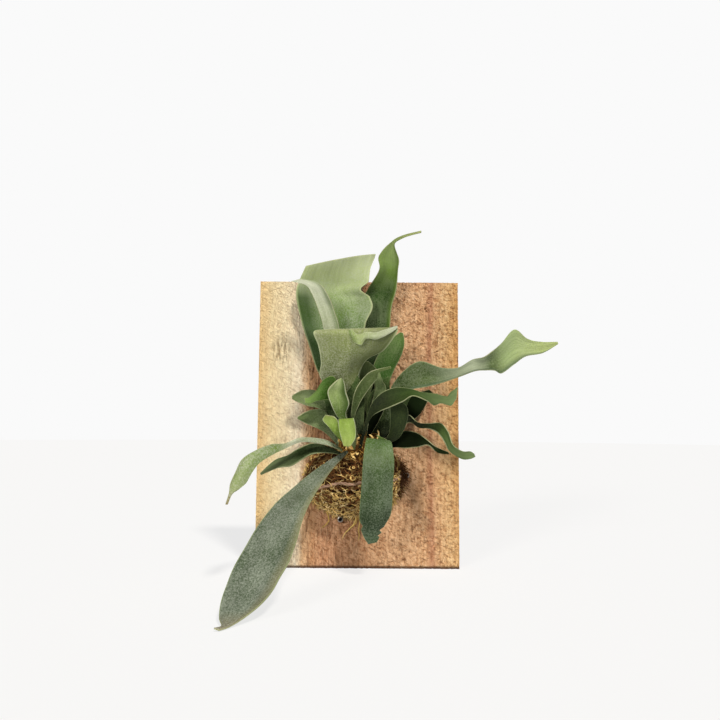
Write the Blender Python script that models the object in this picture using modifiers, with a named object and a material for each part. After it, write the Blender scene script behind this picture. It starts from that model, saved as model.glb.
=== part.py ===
"""Staghorn fern mounted on a rough-sawn cedar board.

Frame: +X to the right of the board, +Y into the wall, +Z up.
Origin: the centre of the board's back face. The front of the board faces -Y.
Places are (x, out, z) in millimetres: out is the distance in front of the board's face.
"""
import bpy
import bmesh
from math import cos, pi, radians, sin, sqrt
from mathutils import Matrix, Vector

MM = 0.001
GAP = 0.3                    # clearance between touching pieces

BOARD_WIDTH = 203.0
BOARD_HEIGHT = 288.0
BOARD_THICKNESS = 20.0
BOARD_EDGE = 1.0             # worn edge

POCKET_WIDTH = 62.0          # routed recess for the hanger, in the back
POCKET_HEIGHT = 22.0
POCKET_DEPTH = 6.0
POCKET_Z = 118.0
HANGER_LENGTH = 54.0
HANGER_HEIGHT = 9.0
HANGER_THICKNESS = 1.0
HANGER_LIFT = 1.8            # the toothed middle stands off the wood
HANGER_Z = POCKET_Z + 4.0
HANGER_TEETH = 13            # along the strip; only those on the raised middle are cut
HANGER_TOOTH = 1.6
HANGER_RAISED_HALF = 17.0    # half the length of the raised middle
HANGER_NAIL_X = 23.0
HANGER_HOLE = 1.1            # radius
NAIL_PROFILE = [             # (radius, height over the strip)
    (0.0, 1.0), (1.6, 0.9), (1.9, 0.5), (1.9, 0.0), (0.8, 0.0), (0.8, -9.0), (0.0, -10.5),
]

MOSS_CENTRE = (-5.0, -53.0)  # x, z
MOSS_HALF = (46.0, 42.0, 37.0)   # half width, how far it stands out, half height
ROOT_CENTRE = (-3.0, -52.0)
ROOT_HALF = (27.0, 22.0, 19.0)
CROWN_CENTRE = (3.0, 32.0, -22.0)
CROWN_HALF = (21.0, 14.0, 13.0)

TWINE_RADIUS = 1.5
TWINE_Z = -57.0
TWINE_BEND = 20.0            # beyond this x, the twine slants towards its screws
SCREW_SHANK = 1.7
SCREW_HEAD = 3.2
SCREW_LENGTH = 14.0
SCREW_STANDOFF = 4.0         # room under the head for the twine
SCREWS = {
    "anchor_screw_left": (-54.5, TWINE_Z - 13.0),
    "anchor_screw_right": (48.5, TWINE_Z + 5.0),
    "anchor_screw_bottom": (-17.0, -95.5),
}

BLADE_THICKNESS = 1.4
BLADE_ACROSS = 4             # faces across a frond
BLADE_ROWS = 2               # faces along, between two places on the midrib
BASE_CLEARANCE = 1.2         # a frond's base stands this far off the crown

LEAF_DARK = (0.070, 0.105, 0.045)
LEAF_GREY = (0.125, 0.165, 0.105)
LEAF_LIGHT = (0.250, 0.320, 0.120)
LEAF_YOUNG = (0.300, 0.400, 0.090)

# Each frond: its colour, then a few places along its midrib, from base to tip. Each place holds
# x, out, z: where the midrib runs, in millimetres;
# width: the blade's breadth there;
# lean: the slope of the blade's width seen from the front, in degrees; 0 is level, and the
#     edge that it counts from is the left one, so 90 turns the right edge to the top;
# twist: degrees that the right edge comes forward of the left one;
# cup: how far the middle bows out between the edges, negative when it bows in.
FRONDS = {
    "frond_back_broad": (LEAF_GREY, [
        (-1, 21, -11, 5, 0, 0, 0), (-8, 15, 14, 15, 0, 0, 0), (-18, 13, 47, 41, 3, 0, -2),
        (-22, 15, 75, 53, 5, 5, -4), (-25, 17, 97, 64, 0, 8, -6), (-26, 18, 121, 74, -2, 6, -7),
        (-26, 19, 138, 71, 0, 2, -5), (-20, 26, 161, 67, 11, 0, 3),
    ]),
    "frond_pale_curl": (LEAF_LIGHT, [
        (-7, 28, -10, 4, 0, 0, 0), (-18, 27, 17, 6, 10, 0, 0), (-25, 30, 49, 14, 0, 0, -1),
        (-26, 38, 87, 15, 0, 0, -2), (-31, 42, 106, 15, 0, 0, -3), (-37, 46, 121, 16, -10, 0, -3),
        (-45, 48, 132, 13, 5, 0, -2), (-61, 45, 136, 9, 15, 0, 0),
    ]),
    "frond_tall_tail": (LEAF_DARK, [
        (9, 20, -10, 5, 0, 0, 0), (9, 11, 17, 8, 0, 20, 0), (14, 8, 54, 26, -5, 10, -1),
        (15, 10, 90, 32, 0, 10, -3), (16, 11, 114, 34, 0, 15, -4), (22, 13, 132, 33, 0, 25, -4),
        (29, 26, 151, 19, 0, 10, -3), (29, 32, 162, 20, -8, 0, -2), (32, 38, 174, 5, -15, 0, 0),
        (41, 45, 179, 3, -45, 0, 0), (59, 54, 182, 2, -90, 0, 0),
    ]),
    "frond_cup": (LEAF_GREY, [
        (1, 33, -9, 5, 0, 0, 0), (-5, 34, 18, 14, 5, 0, 1), (-18, 40, 42, 35, 5, 0, 4),
        (-14, 48, 58, 43, 3, 0, 5), (-7, 55, 70, 62, -3, 0, 5), (-3, 62, 83, 78, 2, 0, 2),
        (-3, 60, 87, 74, 2, 0, 0),
    ]),
    "frond_behind_right": (LEAF_DARK, [
        (21, 24, -11, 5, 0, 0, 0), (22, 18, 12, 7, 0, 0, 0), (23, 17, 34, 13, 10, 5, -1),
        (24, 18, 50, 21, 0, 0, -2), (31, 22, 67, 23, 0, 0, -2), (37, 25, 79, 16, -5, 0, -1),
        (42, 28, 88, 3, -15, 0, 0),
    ]),
    "frond_behind_lobe": (LEAF_GREY, [
        (14, 29, -11, 4, 0, 0, 0), (8, 28, 18, 5, 15, 0, 0), (8, 28, 37, 15, 20, 0, 0),
        (10, 32, 49, 17, 5, 0, -1), (8, 35, 59, 3, -10, 0, 0),
    ]),
    "frond_right_long": (LEAF_LIGHT, [
        (27, 29, -16, 4, -30, 0, 0), (30, 33, 15, 6, -45, 0, 0), (35, 36, 30, 10, -40, 0, 0),
        (48, 43, 41, 20, -68, 5, -2), (62, 48, 46, 25, -75, 7, -3), (78, 55, 45, 15, -80, 8, -2),
        (93, 62, 47, 9, -80, 10, -1), (106, 69, 53, 11, -80, 10, -2), (115, 76, 54, 12, -85, 0, -3),
        (122, 81, 56, 18, -85, -3, -3), (128, 86, 58, 27, -90, 0, -2), (139, 89, 68, 31, -90, 0, -1),
        (149, 91, 67, 16, -95, 0, -1), (163, 94, 67, 10, -90, 0, 0), (176, 95, 71, 2, -70, 0, 0),
    ]),
    "frond_right_forked": (LEAF_GREY, [
        (2, 49, -24, 3, 0, 0, 0), (6, 52, -8, 3, -20, 0, 0), (10, 54, 5, 4, -40, 0, 0),
        (16, 59, 14, 11, -60, 20, -1), (26, 62, 21, 17, -60, 25, -3), (38, 64, 26, 16, -65, 25, -3),
        (49, 66, 28, 9, -70, 35, -2), (61, 68, 24, 9, -70, 20, -1), (70, 70, 21, 11, -100, 5, 1),
        (77, 72, 21, 8, -120, 5, 0), (84, 74, 22, 13, -98, 5, 1), (89, 76, 24, 17, -98, 5, 0),
    ]),
    "frond_right_loop": (LEAF_GREY, [
        (31, 43, -22, 4, -15, 0, 0), (34, 47, -12, 10, -20, 0, 1), (38, 51, 3, 16, -7, -7, 2),
        (38, 53, 13, 16, 3, -7, 2), (34, 55, 18, 13, 13, -8, 1),
    ]),
    "frond_right_ribbon": (LEAF_GREY, [
        (30, 35, -18, 4, -35, 0, 0), (38, 37, -5, 6, -50, 0, 0), (48, 40, 4, 7, -80, 8, -1),
        (57, 44, -2, 5, -78, 0, 0), (67, 49, -3, 5, -90, 0, -1), (76, 53, -5, 10, -105, 10, -2),
        (82, 57, -13, 10, -115, 15, -2), (86, 61, -23, 7, -115, 5, -1), (95, 66, -29, 7, -95, 0, 0),
        (102, 69, -29, 7, -90, 0, 0), (106, 70, -29, 3, -70, 0, 0),
    ]),
    "frond_right_low": (LEAF_DARK, [
        (28, 35, -27, 4, -55, 0, 0), (35, 37, -20, 7, -95, 5, 0), (44, 40, -16, 16, -83, 4, -2),
        (55, 43, -16, 14, -86, 4, -2), (65, 45, -18, 6, -75, 5, -1), (74, 48, -25, 5, -80, 0, 0),
        (85, 50, -28, 2, -65, 0, 0),
    ]),
    "frond_right_shaded": (LEAF_DARK, [
        (26, 23, -16, 4, -35, 0, 0), (36, 18, -2, 9, -58, 0, 0), (50, 14, 10, 17, -50, 0, -1),
        (60, 12, 21, 17, -55, 0, -1), (72, 12, 32, 4, -35, 0, 0),
    ]),
    "frond_hanging": (LEAF_GREY, [
        (15, 49, -27, 4, 0, 0, 0), (18, 54, -18, 16, 0, 0, 0), (19, 60, -16, 22, -7, 0, 1),
        (19, 65, -22, 25, 0, 0, 2), (19, 67, -36, 28, 0, 0, 3), (18, 67, -54, 28, 0, 0, 3),
        (17, 65, -73, 29, 0, 0, 3), (16, 62, -84, 28, 0, 0, 2), (14, 59, -95, 22, 8, 0, 1),
        (14, 57, -104, 15, 15, 0, 0), (14, 56, -110, 8, 10, 0, 0),
    ]),
    "frond_floor": (LEAF_GREY, [
        (-16, 48, -30, 4, -55, 0, 0), (-24, 60, -38, 8, -35, 5, 0), (-36, 81, -49, 14, -30, 15, -1),
        (-47, 102, -61, 20, -25, 15, -3), (-56, 123, -73, 27, -23, 15, -4), (-63, 143, -88, 34, -20, 14, -5),
        (-69, 159, -102, 37, -16, 12, -5), (-75, 171, -113, 37, -10, 10, -5), (-79, 181, -123, 35, -5, 8, -4),
        (-83, 191, -131, 30, 0, 6, -3), (-87, 200, -138, 20, 5, 2, -2), (-90, 209, -142, 7, 0, 0, 0),
        (-95, 217, -142, 4, -20, 0, 0),
    ]),
    "frond_left_upper": (LEAF_LIGHT, [
        (-17, 40, -27, 4, 125, 0, 0), (-27, 46, -20, 7, 125, 0, 0), (-42, 54, -17, 5, 115, 0, 1),
        (-54, 63, -17, 4, 110, 0, 1), (-66, 73, -22, 5, 90, 0, 0), (-77, 83, -25, 10, 90, 5, 0),
        (-88, 91, -31, 12, 105, 5, 1), (-96, 98, -39, 15, 123, 5, 1), (-100, 103, -48, 13, 132, 5, 1),
        (-104, 107, -55, 9, 150, 0, 0), (-107, 110, -61, 3, 160, 0, 0), (-110, 111, -70, 2, 180, 0, 0),
    ]),
    "frond_left_lower": (LEAF_DARK, [
        (-16, 36, -32, 4, 108, 0, 0), (-28, 39, -26, 7, 112, -5, 0), (-42, 44, -25, 10, 95, -12, -1),
        (-54, 49, -30, 11, 105, -15, -2), (-64, 54, -36, 11, 114, -15, -1), (-75, 58, -39, 8, 120, -10, 0),
        (-89, 60, -48, 2, 115, 0, 0),
    ]),
    "frond_young_folded": (LEAF_YOUNG, [
        (-6, 50, -26, 4, 0, 0, 0), (-7, 52, -15, 11, 0, 0, 0), (-9, 54, -4, 14, 5, 0, 0),
        (-11, 58, 3, 14, 4, 0, 0), (-10, 63, -5, 15, 0, 0, 1), (-9, 65, -14, 13, -4, 0, 1),
        (-10, 65, -22, 6, -5, 0, 0),
    ]),
    "frond_young_side": (LEAF_YOUNG, [
        (-12, 51, -26, 3, -25, 0, 0), (-17, 53, -15, 6, -38, 5, 0), (-22, 55, -6, 11, -15, 5, 0),
        (-26, 56, 2, 14, 0, 8, -1), (-27, 57, 6, 7, -8, 0, 0),
    ]),
    "frond_young_spoon": (LEAF_YOUNG, [
        (-4, 44, -18, 3, 0, 0, 0), (-10, 46, -3, 5, 0, 0, 0), (-16, 48, 7, 9, 8, 0, -1),
        (-17, 53, 17, 17, 0, 0, -3), (-20, 56, 28, 17, 0, 0, -4), (-18, 57, 35, 11, -5, 0, -2),
        (-16, 56, 41, 2, 0, 0, 0),
    ]),
    "frond_young_left": (LEAF_LIGHT, [
        (-7, 38, -12, 3, 0, 0, 0), (-13, 42, 9, 4, 30, 0, 0), (-19, 45, 23, 11, 62, 0, 0),
        (-26, 48, 32, 22, 75, 0, 1), (-34, 51, 30, 19, 82, 0, 2), (-40, 52, 24, 10, 85, 0, 1),
        (-46, 53, 20, 6, 90, 0, 0), (-50, 54, 20, 4, 95, 0, 0),
    ]),
    "frond_left_round": (LEAF_DARK, [
        (-12, 27, -15, 3, 70, 0, 0), (-24, 25, 7, 5, 65, 0, 0), (-38, 22, 21, 16, 88, 0, -1),
        (-51, 21, 24, 16, 95, 0, -2), (-60, 21, 24, 9, 95, 0, -1), (-65, 22, 24, 3, 90, 0, 0),
    ]),
    "frond_left_short": (LEAF_DARK, [
        (-15, 33, -22, 4, 75, 0, 0), (-23, 30, -12, 11, 85, 0, 0), (-33, 30, 1, 19, 85, 0, -1),
        (-44, 32, 4, 16, 93, 0, -2), (-53, 33, 4, 8, 90, 0, -1), (-58, 35, 4, 2, 90, 0, 0),
    ]),
    "frond_centre_grey": (LEAF_GREY, [
        (0, 46, -15, 3, -25, 0, 0), (-5, 47, 2, 3, 0, 0, 0), (-2, 50, 18, 7, 0, 0, -1),
        (4, 53, 31, 13, 8, 0, -2), (11, 56, 41, 13, 0, 0, -1), (16, 59, 47, 7, -8, 0, 0),
        (30, 62, 51, 2, -70, 0, 0),
    ]),
    "frond_centre_small": (LEAF_GREY, [
        (11, 36, -12, 3, 0, 0, 0), (15, 36, 12, 6, 0, 0, 0), (21, 38, 30, 11, 10, 0, -1),
        (20, 41, 40, 6, 0, 0, 0), (19, 42, 48, 2, 0, 0, 0),
    ]),
    "frond_bud": (LEAF_YOUNG, [
        (24, 47, -23, 3, 0, 0, 0), (24, 49, -17, 7, 0, 0, 0), (18, 51, -12, 2, -15, 0, 0),
    ]),
    "frond_centre_dark": (LEAF_DARK, [
        (9, 42, -14, 3, 0, 0, 0), (15, 41, 2, 10, 0, 0, -1), (18, 42, 14, 13, -8, 0, -2),
        (20, 44, 24, 3, 0, 0, 0),
    ]),
}


def clear_scene():
    """Remove every object that the scene holds."""
    for obj in list(bpy.data.objects):
        bpy.data.objects.remove(obj, do_unlink=True)


def new_collection(name):
    """Make a collection under the scene's own."""
    collection = bpy.data.collections.new(name)
    bpy.context.scene.collection.children.link(collection)
    return collection


def paint(obj, colour, roughness, metallic=0.0):
    """Give an object its own plain material."""
    material = bpy.data.materials.new(obj.name)
    material.use_nodes = True
    shader = material.node_tree.nodes["Principled BSDF"]
    shader.inputs["Base Color"].default_value = (*colour, 1.0)
    shader.inputs["Roughness"].default_value = roughness
    shader.inputs["Metallic"].default_value = metallic
    obj.data.materials.append(material)


def add_mesh(name, bm, collection):
    """Turn a bmesh, in metres, into an object of that name."""
    mesh = bpy.data.meshes.new(name)
    bm.to_mesh(mesh)
    bm.free()
    obj = bpy.data.objects.new(name, mesh)
    collection.objects.link(obj)
    return obj


def smooth(obj, angle=40.0):
    """Shade a round piece smooth, with its edges kept sharp."""
    obj.data.shade_smooth()
    obj.data.set_sharp_from_angle(angle=radians(angle))


def box(name, centre, size, collection):
    """A plain box; centre and size in millimetres."""
    bm = bmesh.new()
    bmesh.ops.create_cube(bm, size=1.0)
    bmesh.ops.scale(bm, vec=Vector(size) * MM, verts=bm.verts)
    bmesh.ops.translate(bm, vec=Vector(centre) * MM, verts=bm.verts)
    return add_mesh(name, bm, collection)


def ellipsoid(name, centre, half, segments, rings, collection):
    """A closed ellipsoid; centre and half axes are (x, y, z) in millimetres."""
    bm = bmesh.new()
    bmesh.ops.create_uvsphere(bm, u_segments=segments, v_segments=rings, radius=1.0)
    bmesh.ops.scale(bm, vec=Vector(half) * MM, verts=bm.verts)
    bmesh.ops.translate(bm, vec=Vector(centre) * MM, verts=bm.verts)
    return add_mesh(name, bm, collection)


def rod(name, centre, radius, depth, segments, collection):
    """A closed cylinder lying along Y; centre, radius and depth in millimetres."""
    bm = bmesh.new()
    bmesh.ops.create_cone(bm, cap_ends=True, segments=segments, radius1=radius * MM,
                          radius2=radius * MM, depth=depth * MM)
    bmesh.ops.rotate(bm, matrix=Matrix.Rotation(pi / 2, 3, "X"), verts=bm.verts)
    bmesh.ops.translate(bm, vec=Vector(centre) * MM, verts=bm.verts)
    return add_mesh(name, bm, collection)


def as_cutter(obj):
    """Mark an object as a cutting tool."""
    obj.hide_render = True
    obj.display_type = "WIRE"
    return obj


def cut(obj, cutter):
    """Take a cutter's space out of an object."""
    boolean = obj.modifiers.new(cutter.name, "BOOLEAN")
    boolean.operation = "DIFFERENCE"
    boolean.solver = "EXACT"
    boolean.object = as_cutter(cutter)


def turned(name, profile, position, toward, steps, collection):
    """A turned piece from (radius, height) points, with its axis along Y.

    position is in millimetres; toward is -1 when the height runs to the front, 1 to the back.
    """
    bm = bmesh.new()
    ring = [bm.verts.new((radius * MM, 0.0, height * MM)) for radius, height in profile]
    for upper, lower in zip(ring, ring[1:]):
        bm.edges.new((upper, lower))
    obj = add_mesh(name, bm, collection)
    screw = obj.modifiers.new("turn", "SCREW")
    screw.steps = steps
    screw.render_steps = steps
    screw.use_merge_vertices = True
    screw.merge_threshold = 0.00001
    obj.location = Vector(position) * MM
    obj.rotation_euler = (-toward * pi / 2, 0.0, 0.0)
    return obj


def make_board(parts, cutters):
    """Cedar board, with a routed pocket in its back and pilot holes for the fasteners."""
    centre = (0.0, -BOARD_THICKNESS / 2, 0.0)
    board = box("board", centre, (BOARD_WIDTH, BOARD_THICKNESS, BOARD_HEIGHT), parts)
    worn = board.modifiers.new("worn edges", "BEVEL")
    worn.width = BOARD_EDGE * MM
    worn.segments = 2
    pocket_centre = (0.0, -POCKET_DEPTH / 2 + 1.0, POCKET_Z)
    pocket_size = (POCKET_WIDTH, POCKET_DEPTH + 2.0, POCKET_HEIGHT)
    cut(board, box("pocket_cutter", pocket_centre, pocket_size, cutters))
    for side in (-1, 1):
        hole_centre = (side * HANGER_NAIL_X, -POCKET_DEPTH - 4.0, HANGER_Z)
        cut(board, rod(f"nail_cutter_{side}", hole_centre, HANGER_HOLE, 12.0, 12, cutters))
    for name, (x, z) in SCREWS.items():
        depth = SCREW_LENGTH + 0.5
        hole_centre = (x, -BOARD_THICKNESS + depth / 2 - 1.0, z)
        cut(board, rod(f"{name}_cutter", hole_centre, SCREW_SHANK + GAP, depth + 2.0, 14, cutters))
    paint(board, (0.48, 0.27, 0.15), 0.85)


def make_hanger(parts, cutters):
    """Sawtooth picture hanger: a toothed steel strip, nailed at its ends, raised in its middle."""
    bm = bmesh.new()
    columns = 2 * HANGER_TEETH + 1
    bmesh.ops.create_grid(bm, x_segments=columns - 1, y_segments=1, size=0.5)
    for vert in bm.verts:
        column = round((vert.co.x + 0.5) * (columns - 1))
        x = vert.co.x * HANGER_LENGTH
        z = HANGER_Z + vert.co.y * HANGER_HEIGHT
        raised = abs(x) < HANGER_RAISED_HALF
        if raised and vert.co.y < 0 and column % 2:
            z += HANGER_TOOTH
        y = -POCKET_DEPTH + GAP + HANGER_THICKNESS / 2
        if raised:
            y += HANGER_LIFT
        vert.co = Vector((x, y, z)) * MM
    hanger = add_mesh("sawtooth_hanger", bm, parts)
    wall = hanger.modifiers.new("sheet", "SOLIDIFY")
    wall.thickness = HANGER_THICKNESS * MM
    wall.offset = 0.0
    for side in (-1, 1):
        x = side * HANGER_NAIL_X
        cut(hanger, rod(f"hanger_hole_{side}", (x, -POCKET_DEPTH, HANGER_Z), HANGER_HOLE, 6.0, 12, cutters))
        tab_top = -POCKET_DEPTH + GAP + HANGER_THICKNESS + GAP
        label = "left" if side < 0 else "right"
        nail = turned(f"hanger_nail_{label}", NAIL_PROFILE, (x, tab_top, HANGER_Z), 1, 12, parts)
        smooth(nail)
        paint(nail, (0.55, 0.53, 0.50), 0.4, 1.0)
    paint(hanger, (0.60, 0.52, 0.36), 0.4, 1.0)


def make_roots(parts):
    """Root ball: half an ellipsoid of roots and bark, flat against the board."""
    x, z = ROOT_CENTRE
    roots = ellipsoid("root_ball", (x, -BOARD_THICKNESS, z), ROOT_HALF, 20, 10, parts)
    keep_front_of_board(roots)
    paint(roots, (0.06, 0.04, 0.03), 0.95)


def keep_front_of_board(obj):
    """Cut away what lies behind the plane just in front of the board, and close the cut."""
    bm = bmesh.new()
    bm.from_mesh(obj.data)
    plane = Vector((0.0, -(BOARD_THICKNESS + GAP) * MM, 0.0))
    everything = bm.verts[:] + bm.edges[:] + bm.faces[:]
    bmesh.ops.bisect_plane(bm, geom=everything, plane_co=plane, plane_no=(0, 1, 0), clear_outer=True)
    open_edges = [edge for edge in bm.edges if edge.is_boundary]
    bmesh.ops.contextual_create(bm, geom=open_edges)
    bmesh.ops.recalc_face_normals(bm, faces=bm.faces)
    bm.to_mesh(obj.data)
    bm.free()


def make_moss(parts, cutters):
    """Moss packing: a lumpy dome against the board, hollow where the root ball and crown sit."""
    x, z = MOSS_CENTRE
    moss = ellipsoid("moss_mound", (x, -BOARD_THICKNESS, z), MOSS_HALF, 28, 16, parts)
    keep_front_of_board(moss)
    root_x, root_z = ROOT_CENTRE
    root_half = [axis + 2 * GAP for axis in ROOT_HALF]
    hollow = ellipsoid("root_cutter", (root_x, -BOARD_THICKNESS, root_z), root_half, 20, 10, cutters)
    cut(moss, hollow)
    crown_x, crown_out, crown_z = CROWN_CENTRE
    crown_half = [axis + 2 * GAP for axis in CROWN_HALF]
    crown_centre = (crown_x, -BOARD_THICKNESS - crown_out, crown_z)
    cut(moss, ellipsoid("crown_cutter", crown_centre, crown_half, 20, 12, cutters))
    smooth(moss, 60.0)
    paint(moss, (0.23, 0.15, 0.06), 0.95)


def make_crown(parts):
    """Crown: the short creeping stem, with old shield leaves, that the fronds grow from."""
    x, out, z = CROWN_CENTRE
    crown = ellipsoid("crown_rhizome", (x, -BOARD_THICKNESS - out, z), CROWN_HALF, 20, 12, parts)
    smooth(crown, 60.0)
    paint(crown, (0.33, 0.22, 0.08), 0.95)


def make_screws(parts):
    """Pan-head wood screws that hold the twine; each stands off the board by the twine's room."""
    profile = [
        (0.0, 0.9), (1.3, 0.9), (1.7, 2.2), (SCREW_HEAD - 0.8, 2.0), (SCREW_HEAD, 0.9), (SCREW_HEAD, 0.0),
        (SCREW_SHANK, 0.0), (SCREW_SHANK, -SCREW_LENGTH - SCREW_STANDOFF + 3.0),
        (0.0, -SCREW_LENGTH - SCREW_STANDOFF + 0.5),
    ]
    for name, (x, z) in SCREWS.items():
        position = (x, -BOARD_THICKNESS - SCREW_STANDOFF, z)
        screw = turned(name, profile, position, -1, 14, parts)
        smooth(screw)
        paint(screw, (0.35, 0.33, 0.31), 0.35, 1.0)


def moss_out(x, z, clear):
    """How far a line that keeps clear of the moss stands out of the board, in millimetres."""
    across = (x - MOSS_CENTRE[0]) / (MOSS_HALF[0] + clear)
    up = (z - MOSS_CENTRE[1]) / (MOSS_HALF[2] + clear)
    return (MOSS_HALF[1] + clear) * sqrt(max(0.0, 1.0 - across * across - up * up))


def twine_route():
    """Points of the twine: off the left screw, over the moss, and onto the right screw."""
    start = SCREWS["anchor_screw_left"][0] + SCREW_SHANK + TWINE_RADIUS + GAP
    end = SCREWS["anchor_screw_right"][0] - SCREW_SHANK - TWINE_RADIUS - GAP
    steps = 36
    route = []
    for step in range(steps + 1):
        turn = 0.5 - 0.5 * cos(pi * step / steps)
        x = start + (end - start) * turn
        to_right = max(0.0, (x - TWINE_BEND) / (end - TWINE_BEND))
        to_left = max(0.0, (x + TWINE_BEND) / (start + TWINE_BEND))
        right_rise = SCREWS["anchor_screw_right"][1] - TWINE_Z
        left_rise = SCREWS["anchor_screw_left"][1] - TWINE_Z
        z = TWINE_Z + right_rise * to_right + left_rise * to_left
        route.append((x, max(moss_out(x, z, TWINE_RADIUS + 2 * GAP), TWINE_RADIUS + GAP), z))
    return route


def make_twine(parts):
    """Jute twine, drawn tight across the moss between the two side screws."""
    curve = bpy.data.curves.new("binding_twine", "CURVE")
    curve.dimensions = "3D"
    curve.bevel_depth = TWINE_RADIUS * MM
    curve.bevel_resolution = 2
    curve.use_fill_caps = True
    route = twine_route()
    spline = curve.splines.new("POLY")
    spline.points.add(len(route) - 1)
    for point, (x, out, z) in zip(spline.points, route):
        point.co = (x * MM, -(BOARD_THICKNESS + out) * MM, z * MM, 1.0)
    twine = bpy.data.objects.new("binding_twine", curve)
    parts.objects.link(twine)
    paint(twine, (0.42, 0.28, 0.20), 0.9)


def seat_on_crown(point):
    """Move a frond's base point along its line to the crown's centre until it clears the crown."""
    offset = Vector(point) - Vector(CROWN_CENTRE)
    scaled = [value / (half + BASE_CLEARANCE) for value, half in zip(offset, CROWN_HALF)]
    return Vector(CROWN_CENTRE) + offset / Vector(scaled).length


def along(points, place):
    """A smooth (Catmull-Rom) reading of a list of vectors; place runs from 0 to 1."""
    spot = place * (len(points) - 1)
    first = min(int(spot), len(points) - 2)
    t = spot - first
    before = points[max(first - 1, 0)]
    start = points[first]
    end = points[first + 1]
    after = points[min(first + 2, len(points) - 1)]
    return 0.5 * (2 * start + (end - before) * t
                  + (2 * before - 5 * start + 4 * end - after) * t ** 2
                  + (3 * start - before - 3 * end + after) * t ** 3)


def blade_edges(places):
    """The left and right edges of a blade, from the places along its midrib."""
    lefts = []
    rights = []
    for x, out, z, width, lean, twist, cup in places:
        flat = cos(radians(twist)) * width / 2
        forward = sin(radians(twist)) * width / 2
        reach = Vector((flat * cos(radians(lean)), forward, flat * sin(radians(lean))))
        lefts.append(Vector((x, out, z)) - reach)
        rights.append(Vector((x, out, z)) + reach)
    lefts[0] = seat_on_crown(lefts[0])
    rights[0] = seat_on_crown(rights[0])
    return lefts, rights


def make_frond(name, colour, places, parts):
    """One frond: a thin leathery blade lofted between its left and right edges."""
    lefts, rights = blade_edges(places)
    cups = [Vector((place[-1], 0.0, 0.0)) for place in places]
    bm = bmesh.new()
    rows = BLADE_ROWS * (len(places) - 1)
    bmesh.ops.create_grid(bm, x_segments=BLADE_ACROSS, y_segments=rows, size=0.5)
    for vert in bm.verts:
        across = vert.co.x + 0.5
        share = vert.co.y + 0.5
        x, out, z = along(lefts, share).lerp(along(rights, share), across)
        out += along(cups, share).x * 4 * across * (1 - across)
        vert.co = Vector((x, -BOARD_THICKNESS - out, z)) * MM
    frond = add_mesh(name, bm, parts)
    blade = frond.modifiers.new("blade", "SOLIDIFY")
    blade.thickness = BLADE_THICKNESS * MM
    blade.offset = 0.0
    smooth(frond, 70.0)
    paint(frond, colour, 0.6)


clear_scene()
fern = new_collection("mounted_staghorn_fern")
tools = new_collection("cutters")
make_board(fern, tools)
make_hanger(fern, tools)
make_roots(fern)
make_moss(fern, tools)
make_crown(fern)
make_screws(fern)
make_twine(fern)
for frond_name, (frond_colour, frond_places) in FRONDS.items():
    make_frond(frond_name, frond_colour, frond_places, fern)
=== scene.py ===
"""A staghorn fern mounted on a rough-sawn cedar board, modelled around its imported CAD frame.

Metres, +Z up, the board's front facing -Y. Comments give real sizes in millimetres.
"""
from math import cos, exp, pi, radians, sin, sqrt
from random import Random

import bmesh
import bpy
from mathutils import Matrix, Vector, noise


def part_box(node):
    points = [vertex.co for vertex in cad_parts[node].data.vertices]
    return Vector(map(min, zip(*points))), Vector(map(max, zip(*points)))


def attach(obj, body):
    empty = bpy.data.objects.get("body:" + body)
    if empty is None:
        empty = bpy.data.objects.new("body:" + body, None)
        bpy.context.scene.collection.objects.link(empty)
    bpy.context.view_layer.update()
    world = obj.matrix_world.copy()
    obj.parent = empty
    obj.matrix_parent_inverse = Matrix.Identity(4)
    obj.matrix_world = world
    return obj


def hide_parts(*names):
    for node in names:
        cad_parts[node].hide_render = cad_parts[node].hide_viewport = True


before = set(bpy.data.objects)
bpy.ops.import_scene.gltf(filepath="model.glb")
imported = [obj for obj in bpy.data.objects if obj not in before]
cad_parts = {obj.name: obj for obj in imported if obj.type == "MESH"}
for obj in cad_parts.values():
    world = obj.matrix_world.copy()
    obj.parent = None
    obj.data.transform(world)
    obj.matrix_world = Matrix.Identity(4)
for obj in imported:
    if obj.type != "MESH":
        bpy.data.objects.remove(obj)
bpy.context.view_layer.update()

# The stage: a pale, matt table top that the board stands on, a camera just below the middle of
# the board that looks slightly up, and two soft boxes: one high on the right, a weaker and
# lower one on the left.
MM = 0.001
BOARD_LOW, BOARD_HIGH = (Vector(corner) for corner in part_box("board"))
FACE = BOARD_LOW.y
FLOOR = BOARD_LOW.z
TABLE_RADIUS = 6.0
VIEW_DISTANCE = 709 * MM           # from the board's face
VIEW_HEIGHT = 141 * MM             # above the table
VIEW_SIDE = 1.4 * MM               # to the right of the board's middle
LOOK_UP = 5.35                     # degrees
ROLL = 0.42                        # degrees


def srgb(code):
    """A colour written as an sRGB hex value, as the linear colour that Blender's shaders use."""
    channels = [int(code[place:place + 2], 16) / 255 for place in (1, 3, 5)]
    linear = [value / 12.92 if value <= 0.04045 else ((value + 0.055) / 1.055) ** 2.4
              for value in channels]
    return (*linear, 1.0)


def new_material(name):
    """An empty Principled material; gives back the material, its node tree and its shader."""
    material = bpy.data.materials.new(name)
    material.use_nodes = True
    tree = material.node_tree
    return material, tree, tree.nodes["Principled BSDF"]


def fill_sockets(node, values=None, links=None):
    """Set a node's input sockets: values as they are, links from a socket or a node's first one."""
    for key, value in (values or {}).items():
        node.inputs[key].default_value = value
    for key, source in (links or {}).items():
        socket = source.outputs[0] if isinstance(source, bpy.types.Node) else source
        node.id_data.links.new(socket, node.inputs[key])


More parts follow.
